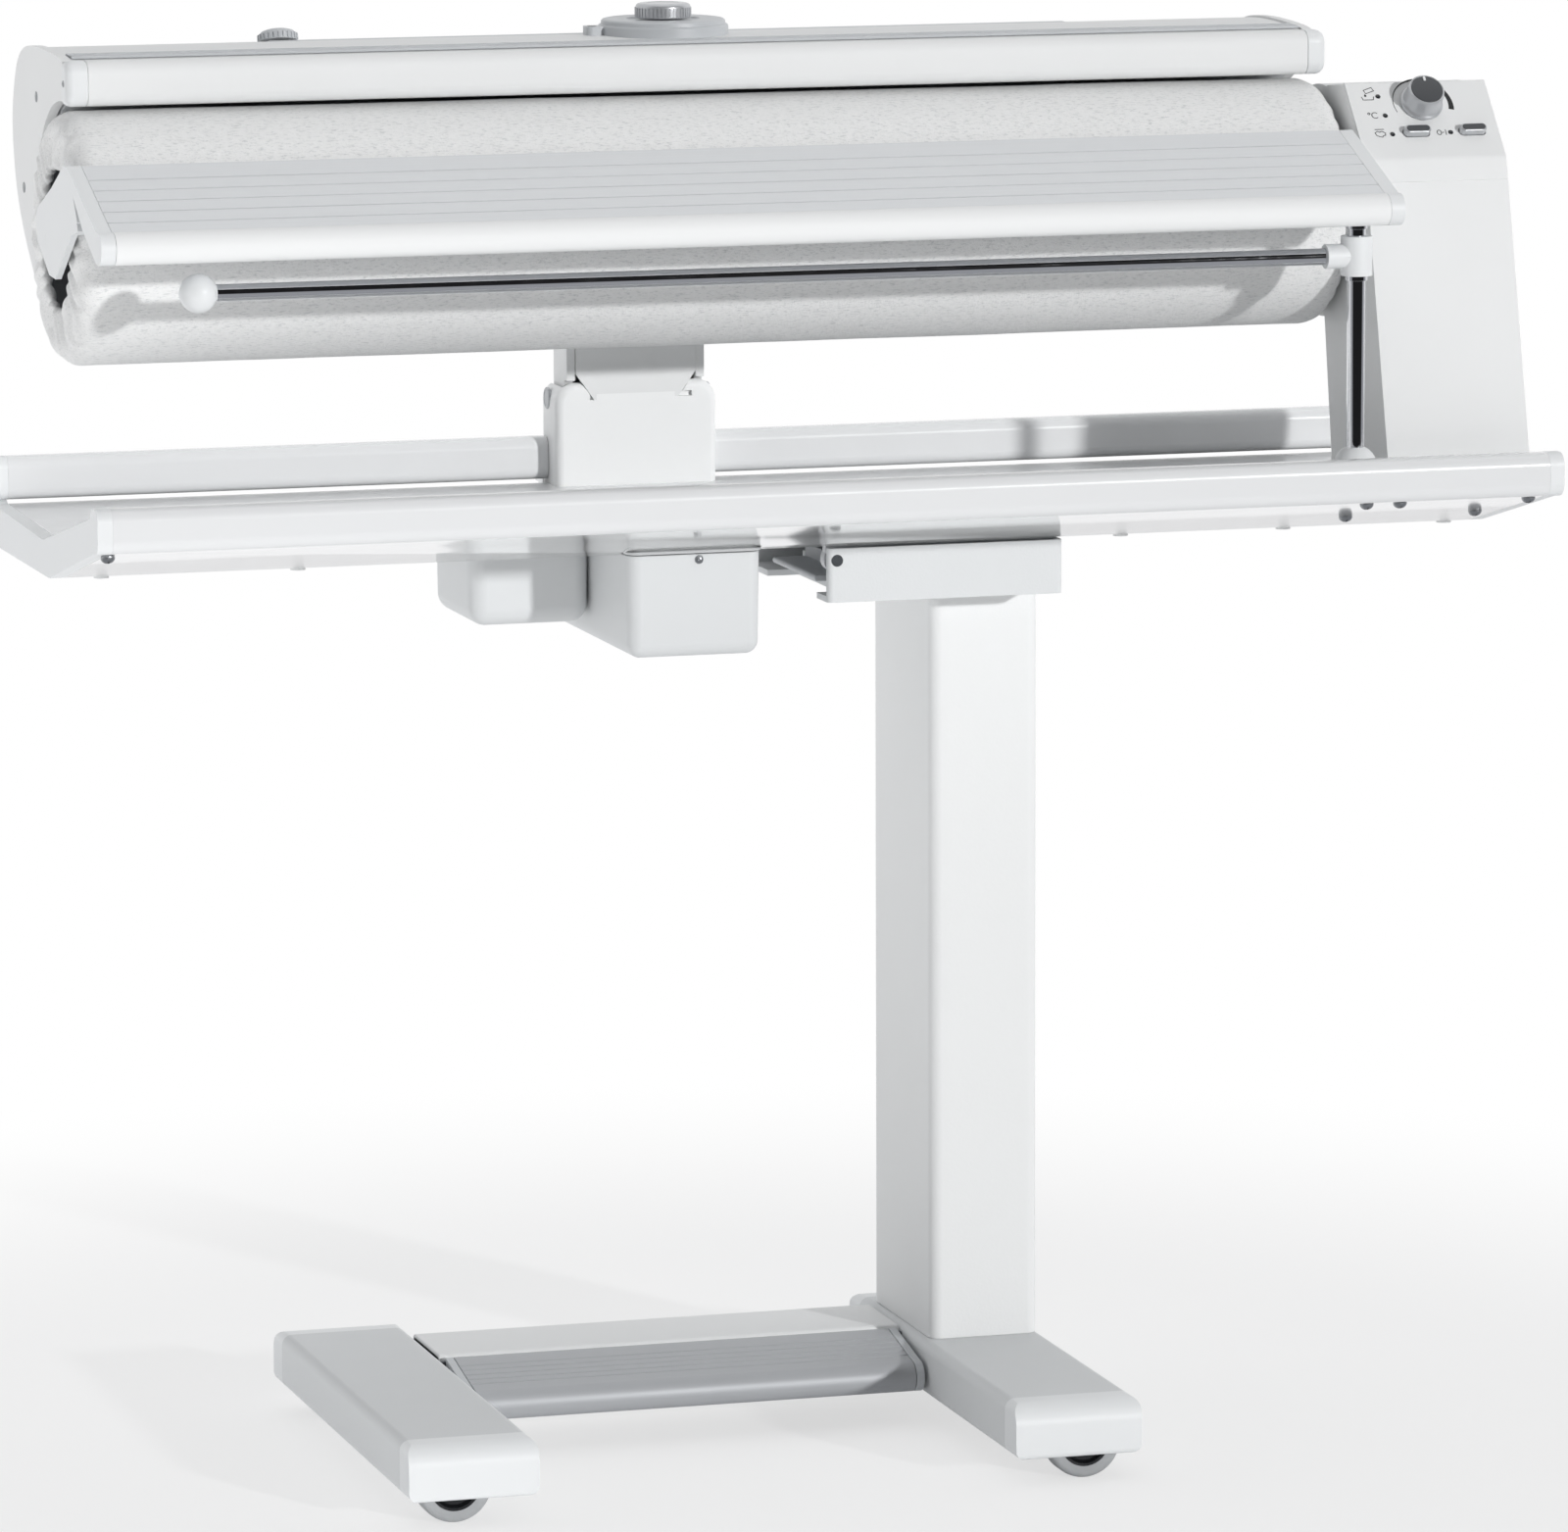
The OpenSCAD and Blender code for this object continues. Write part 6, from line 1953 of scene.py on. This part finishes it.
    def filling(self) -> None:
        """Round filler seat with its tab, and the screwed cap."""
        x, y, z = self.filler
        work = Work()
        place = Matrix.Translation((x, y, z))
        work.lathe([(0, -4), (43.5, -4), (43.5, 2.6), (43.1, 3.6), (42.2, 4.2), (41.5, 4.4), (41.2, 6.6),
                    (40.2, 7.5), (38.8, 7.8), (24.5, 7.8), (23.8, 7.2), (23.2, 6.6), (0, 6.6)], place, 96)
        work.slab(box_outline(-54, -38, -7.5, 7.5, 4, 5), -4.0, 3.6, place)
        work.slab(box_outline(-51.5, -46.5, -4.2, 4.2, 1.5, 4), 3.4, 3.75, place, 1)
        self.shop.piece("filler_plate_shell", work, [GREY_PLASTIC, DARK_PLASTIC], Body.ARM, Slot.GREY,
                        ["filler_plate"], sharp=40)
        work = Work()
        work.lathe([(0, 8.1), (17.6, 8.1), (18.2, 8.5), (18.4, 9.2), (18.4, 15.2), (18.0, 16.6), (16.9, 17.6),
                    (15.4, 18.0), (11.0, 18.1), (10.4, 17.8), (0, 17.8)], place, 84)
        self.shop.piece("filler_cap_shell", work, SILVER_PAINT, Body.FILLER_CAP, Slot.SILVER, ["filler_cap"],
                        sharp=40)
        ribs = RibTree("cap ribs", SILVER_PAINT)
        made = ribs.grow(self.shop, "filler_cap_ribs", bpy.data.meshes.new("filler_cap_ribs"), {
            "Count": 44, "Ring Radius": 18.35 * MM, "Rib Size": (1.0 * MM, 1.2 * MM, 6.0 * MM),
            "Lift": (x * MM, y * MM, (z + 12.2) * MM), "Turn": (0.0, 0.0, 0.0)})
        made.data.shade_flat()
        self.shop.enrol(made, Body.FILLER_CAP, Slot.SILVER)

    def drain_knob(self) -> None:
        """Knurled half-dome knob on the rear slope."""
        tilt = -math.atan(10 / 36)
        place = Matrix.Translation(self.drain) @ Matrix.Rotation(tilt, 4, "X")
        work = Work()
        work.lathe([(0, 0.3), (12.6, 0.3), (12.9, 0.8), (12.9, 3.6), (12.3, 5.2), (10.6, 6.8), (7.6, 7.8),
                    (3.5, 8.0), (0, 8.0)], place, 72)
        self.shop.piece("drain_knob_shell", work, GREY_PLASTIC, Body.DRAIN_KNOB, Slot.GREY, ["drain_knob"],
                        sharp=40)
        ribs = RibTree("knob ribs", GREY_PLASTIC)
        middle = place @ Vector((0, 0, 2.7))
        made = ribs.grow(self.shop, "drain_knob_ribs", bpy.data.meshes.new("drain_knob_ribs"), {
            "Count": 26, "Ring Radius": 12.9 * MM, "Rib Size": (1.3 * MM, 1.5 * MM, 3.8 * MM),
            "Lift": tuple(middle * MM), "Turn": (tilt, 0.0, 0.0)})
        made.data.shade_flat()
        self.shop.enrol(made, Body.DRAIN_KNOB, Slot.GREY)

    def guard(self) -> None:
        """Finger guard: long round bar between two end pieces, one screw in the left end."""
        (y0, y1), (z0, z1) = self.guard_y, self.guard_z

        def drawn(d: float) -> list[Point]:
            """The bar's section, drawn in by a size."""
            radii = [max(r - d, 0.4) for r in (8.5, 4.0, 4.0, 8.5)]
            return rounded(square(y0 + d, y1 - d, z0 + d, z1 - d), radii, 7)

        (bar_left, bar_right), (left, right), seam = self.guard_bar, self.guard_ends, self.guard_seam
        work = Work()
        work.pillow(drawn, bar_left, bar_right, Axis.X, 0.6, 0.6, 2)
        work.prism(drawn(seam), bar_left - 2.6, bar_right + 2.4)
        self.shop.piece("finger_guard_bar", work, CASING, Body.FINGER_GUARD, Slot.PALE, ["finger_guard"],
                        sharp=40)
        caps = Work()
        caps.pillow(drawn, left, bar_left - seam, Axis.X, 5.0, 0.5, 6)
        caps.pillow(drawn, bar_right + seam, right, Axis.X, 0.5, 6.0, 6)
        self.shop.piece("finger_guard_ends", caps, CAP_PLASTIC, Body.FINGER_GUARD, Slot.PALE, sharp=50)
        screw = Screw((left + 0.1, (y0 + y1) / 2, 925.0), (-1, 0, 0))
        drive_screws(self.shop, self.screws, "finger_guard_screws", [screw], Body.FINGER_GUARD, Slot.STEEL,
                     2.4, 0.9)


# ---- studio

@dataclass
class Studio:
    """Floor, soft light and the camera at the photograph's angle."""

    at: Spot = (-1.68033, -5.75225, 1.39014)
    yaw: float = 16.3960
    pitch: float = -8.8438
    roll: float = -0.18426
    lens: float = 209.053
    lamps: tuple[tuple[str, float, Point, float], ...] = (
        ("key light", 1.92, (26.0, 12.6), 2.6), ("top light", 0.12, (10.0, 74.0), 60.0),
        ("side light", 0.17, (-76.0, 16.0), 50.0))
    bounce: float = 0.50
    bounce_x: Point = (0.15, -0.7)
    sky_low: Colour = (0.07, 0.071, 0.074, 1.0)
    sky_high: Colour = (0.80, 0.805, 0.815, 1.0)
    sky_ahead: Point = (0.35, -0.30)
    sky_up: Point = (0.95, 0.75)
    dark_ahead: Point = (-0.02, -0.16)
    dark_up: Point = (0.955, 0.90)
    white: Colour = (1.0, 1.0, 1.0, 1.0)
    mirrored_dark: Colour = (0.012, 0.012, 0.013, 1.0)
    floor_size: float = 9000.0
    floor_low: Colour = (0.83, 0.83, 0.83, 1.0)
    floor_high: Colour = (0.86, 0.86, 0.86, 1.0)
    floor_near: Colour = (0.36, 0.37, 0.39, 1.0)
    floor_far: Colour = (0.015, 0.015, 0.016, 1.0)
    floor_front: Point = (2.6, 4.0)
    floor_back: Point = (0.25, 0.7)
    floor_behind: Colour = (0.93, 0.93, 0.94, 1.0)
    lift_all: float = 0.10
    shadow_shown: float = 0.38
    shadow_fades: Point = (0.55, 1.3)

    def build(self) -> None:
        """Sets up camera, world, lamps and floor."""
        scene = bpy.context.scene
        scene.view_settings.view_transform = "Standard"
        self.camera(scene)
        self.world(scene)
        for lamp in self.lamps:
            self.sun(*lamp)
        self.floor(scene)

    def camera(self, scene: bpy.types.Scene) -> None:
        """Places the camera.

        Args:
            scene: the scene.
        """
        yaw, pitch, roll = (math.radians(v) for v in (self.yaw, self.pitch, self.roll))
        ahead = Vector((math.sin(yaw) * math.cos(pitch), math.cos(yaw) * math.cos(pitch), math.sin(pitch)))
        flat = Vector((math.cos(yaw), -math.sin(yaw), 0))
        over = flat.cross(ahead)
        right = flat * math.cos(roll) + over * math.sin(roll)
        up = over * math.cos(roll) - flat * math.sin(roll)
        data = bpy.data.cameras.new("view")
        data.lens, data.sensor_width, data.sensor_fit = self.lens, 36.0, "HORIZONTAL"
        data.clip_start, data.clip_end = 0.1, 60.0
        made = bpy.data.objects.new("view", data)
        turn = Matrix((right, up, -ahead)).transposed().to_4x4()
        made.matrix_world = Matrix.Translation(self.at) @ turn
        scene.collection.objects.link(made)
        scene.camera = made

    def world(self, scene: bpy.types.Scene) -> None:
        """White where it is seen, dark in front where it is mirrored, a soft sky where it lights.

        Args:
            scene: the scene.
        """
        world = bpy.data.worlds.new("studio")
        scene.world = world
        tree = ShaderTree(world)
        way = tree.node("ShaderNodeTexCoord", output="Generated")
        height, depth = tree.axis(way, "z"), tree.axis(way, "y")
        front = depth.step(*self.sky_ahead) * height.step(*self.sky_up)
        sky = tree.blend(front, self.sky_high, self.sky_low)
        soft = tree.node("ShaderNodeBackground", {}, {"Color": sky, "Strength": 1.0})
        dark = depth.step(*self.dark_ahead) * height.step(*self.dark_up)
        mirrored = tree.blend(dark, self.white, self.mirrored_dark)
        mirror = tree.node("ShaderNodeBackground", {}, {"Color": mirrored, "Strength": 1.0})
        plain = tree.node("ShaderNodeBackground", {}, {"Color": self.white, "Strength": 1.0})
        seen = tree.node("ShaderNodeLightPath", output="Is Camera Ray")
        glossy = tree.node("ShaderNodeLightPath", output="Is Glossy Ray")
        through = tree.node("ShaderNodeLightPath", output="Is Transmission Ray")
        lit = tree.node("ShaderNodeMixShader", {}, {0: glossy, 1: soft, 2: mirror})
        mix = tree.node("ShaderNodeMixShader", {}, {0: seen.most(through), 1: lit, 2: plain})
        tree.node("ShaderNodeOutputWorld", {}, {"Surface": mix})

    def sun(self, name: str, strength: float, aim: Point, spread: float) -> None:
        """A distant soft lamp.

        Args:
            name: the lamp's name.
            strength: its light.
            aim: degrees to the right of the user's side, and above the floor.
            spread: its width in degrees.
        """
        data = bpy.data.lights.new(name, "SUN")
        data.energy, data.angle = strength, math.radians(spread)
        side, height = math.radians(aim[0]), math.radians(aim[1])
        level = math.cos(height)
        source = Vector((math.sin(side) * level, -math.cos(side) * level, math.sin(height)))
        made = bpy.data.objects.new(name, data)
        made.matrix_world = source.to_track_quat("Z", "Y").to_matrix().to_4x4()
        bpy.context.scene.collection.objects.link(made)

    @staticmethod
    def reach(tree: ShaderTree, x: Wire, y: Wire) -> Wire:
        """Distance from the machine's middle over the floor."""
        return tree.node("ShaderNodeMath", {"operation": "SQRT"}, {0: x * x + y * y})

    def floor(self, scene: bpy.types.Scene) -> None:
        """Pale floor: white where it is seen, with a soft shadow, and mirrored darker in front.

        Args:
            scene: the scene.
        """
        work = Work()
        size = self.floor_size
        work.bm.faces.new([work.bm.verts.new(Vector((x, y, 0)) * MM) for x, y in (
            (-size, -size), (size, -size), (size, size), (-size, size))])
        mesh = bpy.data.meshes.new("floor")
        work.bm.to_mesh(mesh)
        work.bm.free()
        made_of = bpy.data.materials.new("pale floor")
        tree = ShaderTree(made_of)
        grain = tree.noise(tree.place(), 3.0, 3.0)
        tone = tree.blend(grain, self.floor_low, self.floor_high)
        plain = tree.node("ShaderNodeBsdfDiffuse", {}, {"Color": tone})
        where = tree.place()
        far = self.reach(tree, tree.axis(where, "x"), tree.axis(where, "y"))
        glow = tree.node("ShaderNodeEmission", {}, {"Color": self.white, "Strength": 1.0})
        front = (0.0 - tree.axis(where, "y")).step(*self.floor_front)
        shade = tree.blend(front, self.floor_near, self.floor_far)
        behind = tree.axis(where, "y").step(*self.floor_back)
        shade = tree.blend(behind, shade, self.floor_behind)
        mirror = tree.node("ShaderNodeEmission", {}, {"Color": shade, "Strength": 1.0})
        seen = tree.node("ShaderNodeLightPath", output="Is Camera Ray")
        glossy = tree.node("ShaderNodeLightPath", output="Is Glossy Ray")
        share = seen * (1.0 - self.shadow_shown + far.step(*self.shadow_fades) * self.shadow_shown)
        left = tree.axis(where, "x").step(*self.bounce_x)
        lift = tree.node("ShaderNodeEmission", {}, {
            "Color": self.white, "Strength": left * self.bounce + self.lift_all})
        spread = tree.node("ShaderNodeAddShader", {}, {0: plain, 1: lift})
        around = tree.node("ShaderNodeMixShader", {}, {0: seen, 1: spread, 2: plain})
        looked = tree.node("ShaderNodeMixShader", {}, {0: share, 1: around, 2: glow})
        mix = tree.node("ShaderNodeMixShader", {}, {0: glossy, 1: looked, 2: mirror})
        tree.node("ShaderNodeOutputMaterial", {}, {"Surface": mix})
        mesh.materials.append(made_of)
        made = bpy.data.objects.new("floor", mesh)
        scene.collection.objects.link(made)


# ---- the whole machine

RAIL_SCREWS = (
    (-481.4, -168.0, 637.9), (361.1, -171.0, 639.8), (384.3, -171.0, 639.8),
    (474.4, -171.0, 639.8), (464.6, -97.9, 622.7), (374.3, -94.2, 621.8))
RAIL_SCREWS_FACE = (0, -0.4, -0.92)
HOUSING_SCREW = Screw((-63.0, -60.2, 606.6), (0, -1, 0))


def machine_screws(shop: Workshop, tree: ScrewTree) -> None:
    """Small screws of the beam: under its front edge and on the right housing.

    Args:
        shop: the workshop.
        tree: the screws' tree.
    """
    under = [Screw(place, RAIL_SCREWS_FACE) for place in RAIL_SCREWS]
    drive_screws(shop, tree, "shelf_rail_screws", under, Body.BEAM, Slot.STEEL, 4.6, 3.4)
    drive_screws(shop, tree, "housing_screws", [HOUSING_SCREW], Body.BEAM, Slot.STEEL, 2.9, 1.6)


def main() -> None:
    """Builds every assembly in order."""
    logging.basicConfig(level=logging.INFO, format="%(name)s: %(message)s")
    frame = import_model()
    shop = Workshop(frame)
    screws = ScrewTree("screw heads", STEEL)
    Studio().build()
    Stand(shop).build()
    ShelfBeam(shop, screws).build()
    Tower(shop).build()
    Roller(shop).build()
    FeedBoard(shop, screws).build()
    HangingRail(shop).build()
    Heater(shop, screws).build()
    machine_screws(shop, screws)
    LOG.info("%d pieces made", shop.made)


if __name__ == "__main__":
    main()
